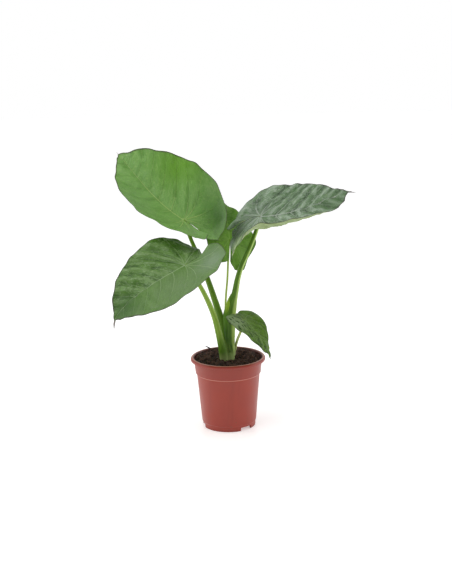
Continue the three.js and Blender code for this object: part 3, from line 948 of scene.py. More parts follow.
@dataclass(frozen=True)
class BladeForm:
    """Shape of one blade. Pairs hold its left and right half, seen from the stalk to the tip.

    Lengths are millimetres and angles are degrees. attach is the point over the stalk, azimuth,
    elevation and roll turn the whole blade, and lobe, lobe_out and sinus are shares of its size.
    rise and droop bend the midrib, swing bends it sideways, twist turns the blade about it, fold
    and camber bend the halves across it, and lobe_droop and lobe_camber bend the rear lobes. A wave
    of the margin is its height, its count and its phase. pleat is the height of the corrugation,
    and quilt how strong it is on each half.
    """

    length: float
    half_width: Pair
    lobe: float
    lobe_out: float
    fullness: Pair
    sinus: Pair
    thread: float
    attach: Point
    azimuth: float
    elevation: float
    roll: float
    rise: float
    droop: float
    swing: float
    twist: float
    fold: Pair
    camber: Pair
    lobe_droop: Pair
    lobe_camber: Pair
    wave: tuple[Point, Point]
    pleat: float
    quilt: Pair = (1.0, 1.0)
    lobe_share: Pair = (1.0, 1.0)
    thread_end: Point = (0.0, 0.0, 0.0)
    thickness: float = 0.55
    tip_width: float = 0.6
    vein_height: float = 0.55
    rib_height: float = 1.5
    steps: int = 112
    rings: int = 44

    def half_margin(self, side: float) -> np.ndarray:
        """Margin of one half, from the cut between the lobes round to the tip.

        Args:
            side: 1 for the left half and -1 for the right one.

        Returns:
            Rows of place along, place across and share of the way.
        """
        half = 0 if side > 0 else 1
        lobe, out = self.lobe * self.lobe_share[half], self.lobe_out
        full, opened, width = self.fullness[half], self.sinus[half], self.half_width[half]
        points = np.array([
            (-SINUS_DEPTH, 0), (-0.42 * lobe, 0.8 * opened), (-0.78 * lobe, 1.1 * opened + 0.02),
            (-0.97 * lobe, 0.55 * out + 0.02), (-lobe, out), (-0.86 * lobe, out + 0.27),
            (-0.45 * lobe, 0.90), (0, 1), (0.22, 0.98), (0.44, 0.84 * (1 + 0.4 * full)),
            (0.64, 0.62 * (1 + full)), (0.81, 0.37 * (1 + 1.6 * full)), (0.93, 0.15 * (1 + 2.2 * full)),
            (1, self.tip_width / width),
        ]) * (self.length, side * width)
        share = np.linspace(0, 1, self.steps + 1)
        fade = (ease(share, 0.12, 0.3) * ease(1 - share, 0, 0.06))[:, None]
        scallops = 0.005 * np.sin(61 * share + 2 * side) + 0.004 * np.sin(103 * share + 5 * side)
        return np.column_stack([spline(points, share) * (1 + fade * scallops[:, None]), share])

    def margin(self) -> np.ndarray:
        """The whole margin as one loop: left half, the thread at the tip, right half back."""
        left, right = self.half_margin(1.0), self.half_margin(-1.0)
        return np.vstack([left, (self.length + self.thread, 0, 1), right[:0:-1]])

    def veins(self, x: np.ndarray, y: np.ndarray) -> tuple[np.ndarray, np.ndarray]:
        """Counts side veins, which lie at whole numbers.

        Args:
            x, y: places on the flattened blade.

        Returns:
            The count, and the distance between two veins in millimetres.
        """
        off = np.abs(y)
        lean = 0.34 + 0.45 * off / np.mean(self.half_width) + 0.5 * np.clip(x / self.length, 0, 1)
        start = (x - lean * off) / self.length
        behind = np.degrees(np.arctan2(np.maximum(-start, 0) * self.length, off + 1e-6))
        count = np.where(start >= 0, start * VEINS_AHEAD, -behind / FAN_STEP)
        apart = np.where(start >= 0, self.length / VEINS_AHEAD * 0.75, np.hypot(x, y) * math.radians(FAN_GAP))
        return count, np.maximum(apart, 0.5)

    def lift(self, x: np.ndarray, y: np.ndarray, reach: np.ndarray, share: np.ndarray,
             leftness: np.ndarray) -> np.ndarray:
        """Height of the waved margin, the corrugation and the finer unevenness.

        Args:
            x, y: places on the flattened blade.
            reach: 0 at the stalk and 1 at the margin.
            share: place along the margin, from the cut to the tip.
            leftness: 1 on the left half and 0 on the right one.

        Returns:
            The height in millimetres.
        """
        on_left = y >= 0
        side = np.where(on_left, 1.0, -1.0)
        fade = ease(1 - share, 0, 0.12) * ease(share, 0.1, 0.3)
        fade = fade * np.where(on_left, leftness, 1 - leftness)
        tall, times, phase = (np.where(on_left, left, right) for left, right in zip(*self.wave))
        wave = tall * fade * np.sin(2 * np.pi * times * (1 - share) + phase)
        count, _ = self.veins(x, y)
        swell = 2 * np.abs(np.sin(np.pi * count)) ** 0.8 - 1
        swell = swell + 0.35 * np.sin(2 * np.pi * (0.77 * count + 0.35 * np.sin(x / 23)) + y / 19)
        quilt = mixed(self.quilt, leftness)
        spread = ease(reach, 0.04, 0.4) * reach**0.9 * (1 - 0.75 * ease(reach, 0.8, 1.0))
        crease = 0.5 * self.pleat * quilt * swell * spread
        ripple = 0.7 * np.sin(x / 7.3 + 1.7 * np.sin(y / 11)) * np.sin(y / 8.1 + x / 19)
        curl = 0.9 * np.sin(2 * np.pi * 8.5 * share + 3 * side) * fade * reach**8
        return wave * reach**2 + crease + ripple * ease(reach, 0.1, 0.6) * quilt + curl

    def midrib(self, x: np.ndarray, leftness: np.ndarray) -> tuple[np.ndarray, np.ndarray, np.ndarray]:
        """Course of the midrib, and of the lobes' middle line behind the stalk.

        Args:
            x: places along the flattened blade.
            leftness: 1 on the left half and 0 on the right one.

        Returns:
            Points, and how far the course points upward and aside there, in radians.
        """
        up = np.radians(self.rise * GRID + self.droop * GRID**3)
        aside = np.radians(self.swing * GRID)
        heading = np.column_stack([np.cos(up) * np.cos(aside), np.cos(up) * np.sin(aside), np.sin(up)])
        run = np.vstack([np.zeros(3), np.cumsum((heading[1:] + heading[:-1]) / 2, 0) * self.length / 100])
        along = np.clip(x / self.length, 0, 1.11)
        ahead = np.column_stack([np.interp(along, GRID, run[:, k]) for k in range(3)])
        droop = bent(mixed(self.lobe_droop, leftness))
        lobe = self.lobe * self.length
        lobe_up = droop * np.clip(-x, 0, None) / lobe
        radius = -lobe / droop
        behind = np.column_stack([radius * np.sin(lobe_up), 0 * x, radius * (1 - np.cos(lobe_up))])
        is_ahead = x >= 0
        ahead_up = np.radians(self.rise * along + self.droop * along**3)
        return (np.where(is_ahead[:, None], ahead, behind), np.where(is_ahead, ahead_up, lobe_up),
                np.where(is_ahead, np.radians(self.swing * along), 0.0))

    def surface(self, x: np.ndarray, y: np.ndarray, reach: np.ndarray, share: np.ndarray) -> np.ndarray:
        """Middle surface of the blade in the leaf's own frame.

        Args:
            x, y: places on the flattened blade.
            reach: 0 at the stalk and 1 at the margin.
            share: place along the margin, from the cut to the tip.

        Returns:
            Points, one row each.
        """
        leftness = ease(2 * y / sum(self.half_width), -0.08, 0.08)
        width = np.where(y >= 0, *self.half_width)
        lift = self.lift(x, y, reach, share, leftness)
        behind = 1 - ease(x / self.length, -0.30, 0.12)
        fold = np.radians(mixed(self.fold, leftness))
        camber = bent(mixed(self.camber, leftness) + behind * mixed(self.lobe_camber, leftness))
        slope = fold + camber * np.abs(y) / width
        across = width / camber * (np.sin(slope) - np.sin(fold))
        height = width / camber * (np.cos(fold) - np.cos(slope))
        lateral = (np.where(y >= 0, 1.0, -1.0) * (across - lift * np.sin(slope)))[:, None]
        raised = (height + lift * np.cos(slope))[:, None]
        place, up, aside = self.midrib(x, leftness)
        twist = np.radians(self.twist) * np.clip(x / self.length, -0.5, 1.1)
        flat = np.column_stack([-np.sin(aside), np.cos(aside), 0 * aside])
        rise = np.column_stack([-np.sin(up) * np.cos(aside), -np.sin(up) * np.sin(aside), np.cos(up)])
        cos, sin = np.cos(twist)[:, None], np.sin(twist)[:, None]
        return place + lateral * (flat * cos + rise * sin) + raised * (rise * cos - flat * sin)

    def turned(self) -> np.ndarray:
        """Works out how the leaf lies.

        Returns:
            Its axes as rows: along the midrib, across it to the left, and up.
        """
        azimuth, elevation, roll = (math.radians(a) for a in (self.azimuth, self.elevation, self.roll))
        along = np.array([math.cos(elevation) * math.cos(azimuth), math.cos(elevation) * math.sin(azimuth),
                          math.sin(elevation)])
        level = np.array([-math.sin(azimuth), math.cos(azimuth), 0.0])
        across = level * math.cos(roll) + np.cross(along, level) * math.sin(roll)
        return np.array([along, across, np.cross(along, across)])

    def normals(self, middle: np.ndarray, quads: np.ndarray, count: int) -> np.ndarray:
        """Directions that the middle surface faces, on the leaf's upper side.

        Args:
            middle: points of the surface, the one over the stalk first.
            quads: point numbers of its four-sided faces.
            count: number of points in the loop round the stalk.

        Returns:
            One row for each point.
        """
        corners = middle[quads]
        facing = np.cross(corners[:, 2] - corners[:, 0], corners[:, 1] - corners[:, 3])
        normals = np.zeros_like(middle)
        for k in range(4):
            np.add.at(normals, quads[:, k], facing)
        if normals[1:].sum(0) @ self.turned()[2] < 0:
            normals = -normals
        normals[0] = normals[1 : 1 + count].sum(0)
        return unit(normals)

    def build(self, name: str) -> Piece:
        """Builds the blade as a thin closed sheet with raised veins on its underside.

        Args:
            name: the object's name.

        Returns:
            The blade, with material slot 0 on its upper face and its rim, and 1 underneath.
        """
        margin = self.margin()
        count = len(margin)
        inner = (np.arange(1, self.rings + 1) / (self.rings + 1)) ** 0.9
        reaches = np.concatenate([inner, RIM_REACHES])
        x, y = (np.concatenate([[0.0], np.outer(reaches, margin[:, k]).ravel()]) for k in (0, 1))
        reach = np.concatenate([[0.0], np.repeat(reaches, count)])
        share = np.concatenate([[0.5], np.tile(margin[:, 2], len(reaches))])
        middle = self.surface(x, y, reach, share) @ self.turned() + np.array(self.attach)
        middle += ease(x, self.length, self.length + self.thread)[:, None] * self.thread_end

        first = 1 + np.arange(count)
        following = 1 + first % count
        fan = np.column_stack([np.zeros(count, int), following, first])
        starts = np.arange(len(reaches) - 1) * count
        quads = np.vstack([np.column_stack([first, following, following + count, first + count]) + start
                           for start in starts])
        normals = self.normals(middle, quads, count)
        vein, apart = self.veins(x, y)
        off_vein = np.abs(vein - np.round(vein)) * apart
        ridge = self.vein_height * np.exp(-((off_vein / 1.4) ** 2)) * (1 - reach) * ease(reach, 0.03, 0.12)
        fade = np.where(x >= 0, 1 - x / self.length, 1 + x / 16)
        rib = self.rib_height * np.clip(fade, 0, 1) * np.exp(-((y / 2.6) ** 2))
        thin = self.thickness / 2 * np.where(reach > 0.99, 0.6, 1.0)
        upper = middle + normals * thin[:, None]
        lower = middle - normals * (thin + np.maximum(ridge, rib))[:, None]

        below = len(middle)
        faces = [tuple(face) for part in (quads, fan) for face in part[:, ::-1].tolist()]
        upper_count = len(faces)
        faces += [tuple(point + below for point in reversed(face)) for face in faces]
        edge, edge_next = (loop + len(starts) * count for loop in (first, following))
        faces += [tuple(face) for face in
                  np.column_stack([edge, edge_next, edge_next + below, edge + below]).tolist()]
        made = make_object(name, np.vstack([upper, lower]), faces)
        slots = np.zeros(len(faces), np.int32)
        slots[upper_count : 2 * upper_count] = 1
        for _ in LeafSide:
            made.data.materials.append(None)
        made.data.polygons.foreach_set("material_index", slots)
        add_attribute(made, "leaf_vein", np.tile(np.column_stack([vein, apart * MM, reach]), (2, 1)))
        add_attribute(made, "leaf_flat", np.tile(np.column_stack([x * MM, y * MM, 0 * x]), (2, 1)))
        return made


@dataclass
class Leaf:
    """One leaf: its blade, its stalk and, where one shows, the sheath round its stalk."""

    name: str
    blade_slot: str
    stalk_slot: str
    blade_finish: LeafFinish
    stalk_finish: StalkFinish
    blade: BladeForm
    stalk: StalkForm
    sheath: tuple[float, float, Pair] | None = None
    sheath_finish: StalkFinish | None = None
    pieces: list[Piece] = field(default_factory=list)

    def build(self) -> None:
        """Builds the leaf's meshes."""
        self.pieces = [self.blade.build(f"{self.name}_blade_fine"),
                       self.stalk.sweep(f"{self.name}_petiole_fine")]
        if self.sheath:
            self.pieces.append(self.stalk.sheath(f"{self.name}_sheath", *self.sheath))

    def dress(self, shelf: EffectShelf) -> None:
        """Gives the meshes their materials and settles them on the plant.

        Args:
            shelf: the shared node groups.
        """
        blade, stalk, *sheaths = self.pieces
        for index, side in enumerate(LeafSide):
            blade.data.materials[index] = self.blade_finish.dress(
                self.name, side, shelf, self.blade.length * MM)
        stalk.data.materials.append(self.stalk_finish.dress(f"{self.name}_stalk", shelf))
        settle(blade, self.blade_slot, f"{self.name}_blade")
        settle(stalk, self.stalk_slot, f"{self.name}_petiole")
        for sheath in sheaths:
            sheath.data.materials.append(self.sheath_finish.dress(f"{self.name}_sheath", shelf))
            settle(sheath, self.stalk_slot)


GREY_GREEN = LeafFinish(
    body=tint(76, 114, 40), deep=tint(38, 74, 10), bright=tint(102, 134, 70), vein=tint(158, 182, 136),
    under=tint(120, 152, 70), ridge=tint(118, 146, 92),
    # The two greyish patches on the left half are painted sheen.
    tone_and_light_patches=(ToneAndLightPatch(0.25, 0.3, 0.5, tint(100, 126, 80), 0.8),
           ToneAndLightPatch(-0.18, 0.3, 0.32, tint(118, 138, 110), 0.85),
           ToneAndLightPatch(0.84, 0.04, 0.3, tint(46, 84, 20), 0.85)),
    valley_show=(0.15, 0.8), ridge_show=(0.15, 0.75), crease_show=(0.14, 0.45), streak_show=0.22,
    vein_show=0.42, fine_show=0.08, gloss=0.3)

YOUNG_GREEN = LeafFinish(
    body=tint(99, 145, 64), deep=tint(66, 114, 28), bright=tint(116, 158, 80), vein=tint(166, 192, 110),
    under=tint(112, 152, 48), ridge=tint(120, 160, 86),
    # The yellow-green patch is painted light shining through the blade, and the two greyish ones are painted
    # sheen.
    tone_and_light_patches=(ToneAndLightPatch(0.5, -0.42, 0.42, tint(94, 148, 8), 0.72),
           ToneAndLightPatch(0.45, 0.4, 0.45, tint(112, 146, 94), 0.5),
           ToneAndLightPatch(-0.16, -0.36, 0.32, tint(58, 106, 26), 0.75),
           ToneAndLightPatch(-0.2, 0.14, 0.22, tint(120, 154, 96), 0.5)),
    valley_show=(0.35, 0.45), ridge_show=(0.3, 0.25), crease_show=(0.16, 0.24), streak_show=0.24,
    vein_show=0.42, vein_reach=0.5, fine_show=0.06, roughness=0.42, gloss=0.3, relief=0.8,
    rim=tint(60, 56, 40))

RIDGED_GREEN = LeafFinish(
    body=tint(66, 106, 48), deep=tint(26, 64, 6), bright=tint(128, 150, 122), vein=tint(180, 192, 176),
    under=tint(142, 160, 108), ridge=tint(158, 176, 154),
    # The first, very dark patch is painted shade on the hanging lobe; the pale one after it stands for the
    # underside of its curled margin.
    tone_and_light_patches=(ToneAndLightPatch(-0.33, -0.1, 0.32, tint(24, 50, 2), 0.98),
           ToneAndLightPatch(-0.34, -0.4, 0.26, tint(178, 196, 146), 0.9),
           ToneAndLightPatch(0.84, -0.06, 0.3, tint(56, 96, 34), 0.6),
           ToneAndLightPatch(-0.1, 0.14, 0.28, tint(60, 88, 52), 0.7)),
    valley_show=(0.95, 0.95), ridge_show=(0.75, 0.75), crease_show=(0.5, 0.5), streak_show=0.4,
    vein_show=0.5, vein_reach=0.7, fine_show=0.12, vein_width=0.0015, roughness=0.36, gloss=0.5, relief=1.0)

REAR_GREEN = LeafFinish(
    body=tint(84, 126, 34), deep=tint(48, 88, 6), bright=tint(98, 140, 46), vein=tint(134, 168, 82),
    under=tint(86, 124, 30), ridge=tint(100, 140, 52),
    tone_and_light_patches=(ToneAndLightPatch(-0.16, -0.3, 0.3, tint(100, 138, 60), 0.7),
           ToneAndLightPatch(0.5, 0, 0.42, tint(44, 86, 0), 0.85)),
    valley_show=(0.7, 0.7), crease_show=(0.3, 0.3), fine_show=0.08, streak_show=0.3,
    roughness=0.5, gloss=0.1)

SMALL_GREEN = LeafFinish(
    body=tint(84, 124, 16), deep=tint(36, 70, 0), bright=tint(100, 136, 44), vein=tint(150, 176, 108),
    under=tint(116, 146, 60), ridge=tint(110, 140, 72),
    # The pale grey-green patch is painted sheen.
    tone_and_light_patches=(ToneAndLightPatch(-0.06, -0.36, 0.46, tint(164, 184, 142), 0.9),),
    valley_show=(0.55, 0.85), ridge_show=(0.25, 0.5), crease_show=(0.3, 0.6), spot_show=(0.0, 0.9),
    streak_show=0.45, vein_show=0.35, vein_width=0.0008, gloss=0.14, relief=1.0)

LIGHT_STALK = StalkFinish(
    body=tint(110, 144, 34), light=tint(138, 168, 60), dark=tint(70, 102, 12), edge_turn=-24.0,
    edge_spread=34.0, edge=tint(160, 188, 96), lower=((0.235, 0.185, tint(88, 126, 26)),))

# The first lower band is lighter as painted light in the shaded gap between the stalks.
GREEN_STALK = StalkFinish(
    body=tint(78, 116, 10), light=tint(102, 138, 34), dark=tint(48, 82, 4),
    lower=((0.245, 0.205, tint(92, 134, 18)), (0.21, 0.182, tint(142, 174, 82))))

SHEATHED_STALK = StalkFinish(
    body=tint(64, 102, 8), light=tint(88, 126, 28), dark=tint(40, 74, 4), edge_turn=-24.0,
    edge_spread=56.0, edge=tint(176, 204, 106), lower=((0.186, 0.16, tint(128, 160, 74)),))

# Its pale lower band is painted light in the shade among the other stalks.
THIN_STALK = StalkFinish(
    body=tint(146, 172, 64), light=tint(174, 194, 92), dark=tint(112, 138, 38),
    lower=((0.238, 0.205, tint(202, 214, 140)),))

# The two darker bands low on the sheath are painted shade between the stalks.
SHEATH = StalkFinish(
    body=tint(126, 160, 34), light=tint(150, 178, 52), dark=tint(92, 126, 16),
    lower=((0.276, 0.256, tint(80, 122, 20)), (0.248, 0.216, tint(60, 98, 8)),
           (0.206, 0.182, tint(110, 144, 58))))


def make_leaves() -> list[Leaf]:
    """Describes the five leaves, with the same sizes as the solids.

    Returns:
        The leaves, which are not built yet.
    """
    return [
        Leaf("lower_left_leaf", "leaf_grey_green", "stalk_light", GREY_GREEN, LIGHT_STALK, BladeForm(
            length=202, half_width=(108.3, 104), lobe=0.42, lobe_out=0.51, fullness=(0.14, -0.02),
            sinus=(0.02, 0.04), lobe_share=(0.96, 0.82), thread=20, thread_end=(9, 0, -8),
            attach=(-89, -85, 391.7), azimuth=217.2, elevation=-18, roll=-11.5,
            rise=-6.2, droop=-36.6, swing=-6.7, twist=-14.9, fold=(3.9, 9), camber=(10, 12.7),
            lobe_droop=(-45.7, 35.2), lobe_camber=(10.5, 4.4),
            wave=((4.7, 2.97, -0.13), (-5, 3.58, 0.47)), pleat=1.5, quilt=(1.0, 2.6),
        ), StalkForm((
            (-8, -9, 92, 10.4, 9), (-8.4, -9.5, 154, 10.4, 9), (-13.5, -13, 189, 8.9, 7.6),
            (-19.6, -20, 222, 7.7, 6.6), (-28.4, -28, 261, 6.2, 5.7), (-42, -38, 300.7, 5.5, 5.1),
            (-58.3, -50, 338, 4.8, 4.6), (-75, -67, 369, 4.3, 4.2), (-88.2, -84, 390.4, 3.9, 3.8)))),
        Leaf("upper_left_leaf", "leaf_bright", "stalk_green", YOUNG_GREEN, GREEN_STALK, BladeForm(
            length=234, half_width=(112, 136), lobe=0.37, lobe_out=0.42, fullness=(-0.07, 0.21),
            sinus=(0, 0.05), thread=9, attach=(-94.1, 50, 469.1), azimuth=151.7, elevation=25.8,
            roll=-18.8, rise=34.4, droop=-30.7, swing=-17.1, twist=-25.8, fold=(8.1, 9.2),
            camber=(39.1, 13), lobe_droop=(-11.1, 45.7), lobe_camber=(-22.1, -43.8),
            wave=((3.8, 3.8, 0.69), (-6, 4.52, 1.04)), pleat=1.1,
        ), StalkForm((
            (1, 4, 92, 7.5, 7), (0.5, 4, 152, 7.5, 7), (-3.5, 4.5, 185, 7.4, 6.8),
            (-8.5, 6, 216, 7.6, 6.9), (-15.4, 8, 250, 8.1, 6.9), (-28, 13, 293, 6.9, 6.5),
            (-41, 20, 333, 6.2, 6), (-56, 30, 373, 5.3, 5.1), (-71.5, 39, 409, 4.6, 4.4),
            (-81, 44.5, 432, 4.3, 4.1), (-93.6, 49.8, 467.4, 3.9, 3.8)))),
        Leaf("right_leaf", "leaf_grey_green", "stalk_green", RIDGED_GREEN, SHEATHED_STALK, BladeForm(
            length=202, half_width=(120, 111), lobe=0.52, lobe_out=0.56, fullness=(0.06, 0.10),
            sinus=(0.02, 0.02), thread=13, thread_end=(5, 0, -11), attach=(78.4, -5, 482.1),
            azimuth=-12.6, elevation=3.5, roll=16, rise=30, droop=-11.6, swing=11.8, twist=4.2,
            fold=(2.4, -19), camber=(16.5, 75), lobe_droop=(56.2, 75), lobe_camber=(-22.6, -60),
            wave=((-2.5, 3.57, -0.33), (-4.3, 3.38, -0.52)), pleat=2, quilt=(2.2, 2.2),
        ), StalkForm((
            (6, -4, 92, 9.5, 9), (6, -4, 160, 9.5, 9), (9.4, -1.5, 170, 6.3, 8.4),
            (8.4, 0, 184, 7.2, 8.2), (5.4, 1, 206, 11.5, 8), (5, 2, 235, 13.2, 7.8),
            (5.4, 3, 256, 14.2, 7.5), (8.3, 4, 271, 12.9, 7.2), (12.3, 4.5, 288, 10.9, 6.9),
            (18, 5, 306, 7.5, 6.5), (25.5, 4, 342, 6.3, 6.1), (34.6, 2, 371, 5.5, 5.4),
            (45.7, 1, 395, 5.2, 5.1), (57, -1, 421, 4.9, 4.8), (66.3, -2, 445, 4.7, 4.6),
            (77.9, -4.8, 480.4, 4.2, 4.1))), sheath=(175, 304, (112, 250)), sheath_finish=SHEATH),
        Leaf("rear_leaf", "leaf_dark", "stalk_light", REAR_GREEN, THIN_STALK, BladeForm(
            length=155, half_width=(71, 73), lobe=0.45, lobe_out=0.49, fullness=(0, -0.07),
            sinus=(0.05, 0.06), thread=7, attach=(8.8, 115, 411.5), azimuth=94.2, elevation=49.3,
            roll=31, rise=-33.5, droop=-4.5, swing=-3.8, twist=3.6, fold=(6, 4.7),
            camber=(-4.3, -4), lobe_droop=(2.4, 32.8), lobe_camber=(-5.2, -39.8),
            wave=((-2.6, 3.77, -0.06), (2.5, 4.84, 0.8)), pleat=1, steps=90, rings=36,
        ), StalkForm((
            (-3, 20, 92, 2.6, 2.6), (-3, 20.5, 152, 2.6, 2.6), (-3.8, 24, 200, 2.5, 2.5),
            (-4.2, 32, 243, 2.4, 2.4), (-2.2, 48, 287, 2.4, 2.4), (2.2, 69, 327, 2.3, 2.3),
            (5, 91, 368, 2.3, 2.3), (8.6, 114.2, 410.2, 2.2, 2.2)))),
        Leaf("small_front_leaf", "leaf_dark", "stalk_light", SMALL_GREEN, THIN_STALK, BladeForm(
            length=107, half_width=(54, 50), lobe=0.32, lobe_out=0.42, fullness=(-0.11, 0.01),
            sinus=(0.02, 0.02), thread=4, attach=(39.1, -38, 256.4), azimuth=-39.3,
            elevation=-34.5, roll=-7.5, rise=-23.7, droop=-4.4, swing=2.8, twist=-16.6,
            fold=(0.6, 1.1), camber=(11.6, -12.7), lobe_droop=(43.8, 31.8), lobe_camber=(-3.9, -7.7),
            wave=((1.2, 3.68, -0.07), (1.1, 3.95, -0.27)), pleat=0.7, quilt=(2.2, 1.8),
            steps=80, rings=32,
        ), StalkForm((
            (13, 17, 92, 3.3, 3.1), (13.5, 16.5, 152, 3.3, 3.1), (17.6, 10.5, 181, 3.2, 3),
            (22.2, -3, 201, 3.1, 2.9), (29.2, -20, 223, 2.9, 2.7), (38.3, -37.2, 255.2, 2.5, 2.4)))),
    ]


# ---------------------------------------------------------------- pot


@dataclass
class Pot:
    """The nursery pot, in millimetres: rolled lip, collar, small step, tapered body, notched foot."""

    height: float = 162.0
    lip_radius: float = 85.0
    lip_height: float = 7.5
    collar_top: float = 77.6
    collar_foot: float = 74.5
    step: float = 124.5
    body_top: float = 71.9
    body_foot: float = 62.3
    foot_height: float = 12.0
    foot_radius: float = 60.4
    wall: float = 1.4
    floor: float = 1.5
    pad: float = 36.0
    channel: float = 8.0
    ring: float = 4.5
    notches: tuple[float, ...] = (-50.0, 70.0, 190.0)
    notch_size: Point = (14.0, 30.0, 16.0)
    notch_round: float = 1.5
    drains: int = 6
    first_drain: float = 10.0
    drain_radius: float = 3.5
    drain_circle: float = 46.0
    segments: int = 168
    corner_radius: float = 0.9
    corner_parts: int = 4
    sharp_angle: float = 50.0
    finish: PotFinish = PotFinish()
    piece: Piece | None = None

    def profile(self) -> list[Pair]:
        """Draws half a section of the pot.

        Returns:
            Its corners, from under the base, round the lip and down to the floor.
        """
        lip_foot, crest = self.height - self.lip_height, self.lip_radius - 4.4
        ring_inner = self.foot_radius - self.ring
        h, c, f = self.height, self.channel, self.floor
        return [
            (self.pad, 0), (self.pad + 2, c), (ring_inner - 1, c), (ring_inner, 0),
            (self.foot_radius, 0), (self.foot_radius + 0.4, self.foot_height - 1),
            (self.body_foot, self.foot_height + 1), (self.body_top, self.step - 1),
            (self.collar_foot, self.step + 1), (self.collar_top, lip_foot),
            (self.collar_top + 0.7, h - 3.6), (self.lip_radius - 3.2, h - 2.4),
            (self.lip_radius - 1.7, h - 4.4), (self.lip_radius - 1.7, lip_foot),
            (self.lip_radius - 0.1, lip_foot), (self.lip_radius, h - 3.4), (self.lip_radius - 1.3, h - 1.1),
            (crest + 1, h), (crest - 1.4, h - 0.2), (crest - 3.4, h - 2.2),
            (self.collar_top - self.wall, lip_foot - 1), (self.collar_foot - self.wall, self.step + 1.6),
            (self.body_top - self.wall, self.step - 0.4),
            (self.body_foot - self.wall, self.foot_height + 2.5),
            (self.body_foot - self.wall - 1.4, c + f), (self.pad + 2 - f, c + f), (self.pad - f, f),
        ]

    def rounded(self) -> list[Pair]:
        """Rounds the section's corners.

        Returns:
            Its points, without the two on the axis.
        """
        points = [Vector((0, 0)), *(Vector(p) for p in self.profile()), Vector((0, self.floor))]
        made = []
        for before, corner, after in zip(points, points[1:], points[2:]):
            gaps = before - corner, after - corner
            reach = min(self.corner_radius, *(gap.length * 0.45 for gap in gaps))
            start, end = (corner + gap.normalized() * reach for gap in gaps)
            for k in range(self.corner_parts + 1):
                s = k / self.corner_parts
                made.append(tuple((1 - s) ** 2 * start + 2 * s * (1 - s) * corner + s * s * end))
        return made

    def build(self) -> None:
        """Turns the section round the axis, and cuts the notches and the drain holes."""
        turns = np.linspace(0, TURN, self.segments, endpoint=False)
        rings = [ring(radius, height, turns) for radius, height in self.rounded()]
        self.piece = turned_solid("pot_fine", rings, (0.0, self.floor))
        cutters = [self.notch_cutter(angle) for angle in self.notches]
        cutters += [self.drain_cutter(self.first_drain + k * 360 / self.drains) for k in range(self.drains)]
        for cutter in cutters:
            cut = self.piece.modifiers.new("cut", "BOOLEAN")
            cut.operation, cut.object, cut.solver = "DIFFERENCE", cutter, "EXACT"
        bpy.context.view_layer.update()
        seen = self.piece.evaluated_get(bpy.context.evaluated_depsgraph_get())
        cut_mesh = bpy.data.meshes.new_from_object(seen)
        self.piece.modifiers.clear()
        self.piece.data = cut_mesh
        for cutter in cutters:
            bpy.data.objects.remove(cutter)
        even = self.piece.modifiers.new("even_shading", "WEIGHTED_NORMAL")
        even.keep_sharp = True
        cut_mesh.set_sharp_from_angle(angle=math.radians(self.sharp_angle))

    def notch_cutter(self, angle: float) -> Piece:
        """Makes a block with rounded top corners that cuts one notch in the foot.

        Args:
            angle: where the notch lies round the pot, in degrees.

        Returns:
            The block.
        """
        deep, wide, tall = self.notch_size
        turn, middle = math.radians(angle), self.foot_radius - self.ring / 2
        outline = [(-wide / 2, -tall / 2), (wide / 2, -tall / 2)]
        bends = [math.radians(90 * k / 4) for k in range(5)]
        for side, way in ((1, 1), (-1, -1)):
            for bend in bends[::way]:
                outline.append((side * (wide / 2 - self.notch_round + self.notch_round * math.cos(bend)),
                                tall / 2 - self.notch_round + self.notch_round * math.sin(bend)))
        points = []
        for x in (middle - deep / 2, middle + deep / 2):
            points += [(x * math.cos(turn) - y * math.sin(turn), x * math.sin(turn) + y * math.cos(turn), z)
                       for y, z in outline]
        count = len(outline)
        faces = [tuple(reversed(range(count))), tuple(range(count, 2 * count))]
        faces += [(k, (k + 1) % count, (k + 1) % count + count, k + count) for k in range(count)]
        return make_object("notch_cutter", np.array(points), faces)

    def drain_cutter(self, angle: float, sides: int = 24) -> Piece:
        """Makes the drill for one drain hole.

        Args:
            angle: where the hole lies round the pot, in degrees.
            sides: number of sides of the drill.

        Returns:
            The drill.
        """
        turn = math.radians(angle)
        x, y = self.drain_circle * math.cos(turn), self.drain_circle * math.sin(turn)
        points = [(x + self.drain_radius * math.cos(a), y + self.drain_radius * math.sin(a), z)
                  for z in (self.channel - 3, self.channel + 5) for a in np.linspace(0, TURN, sides, False)]
        return make_object("drain_cutter", np.array(points), tube_faces(2, sides))

    def dress(self, shelf: EffectShelf) -> None:
        """Gives the pot its plastic and settles it.

        Args:
            shelf: the shared node groups.
        """
        self.piece.data.materials.clear()
        self.piece.data.materials.append(self.finish.dress(shelf, self.step * MM))
        settle(self.piece, "pot_plastic", "pot")


# ---------------------------------------------------------------- potting mix


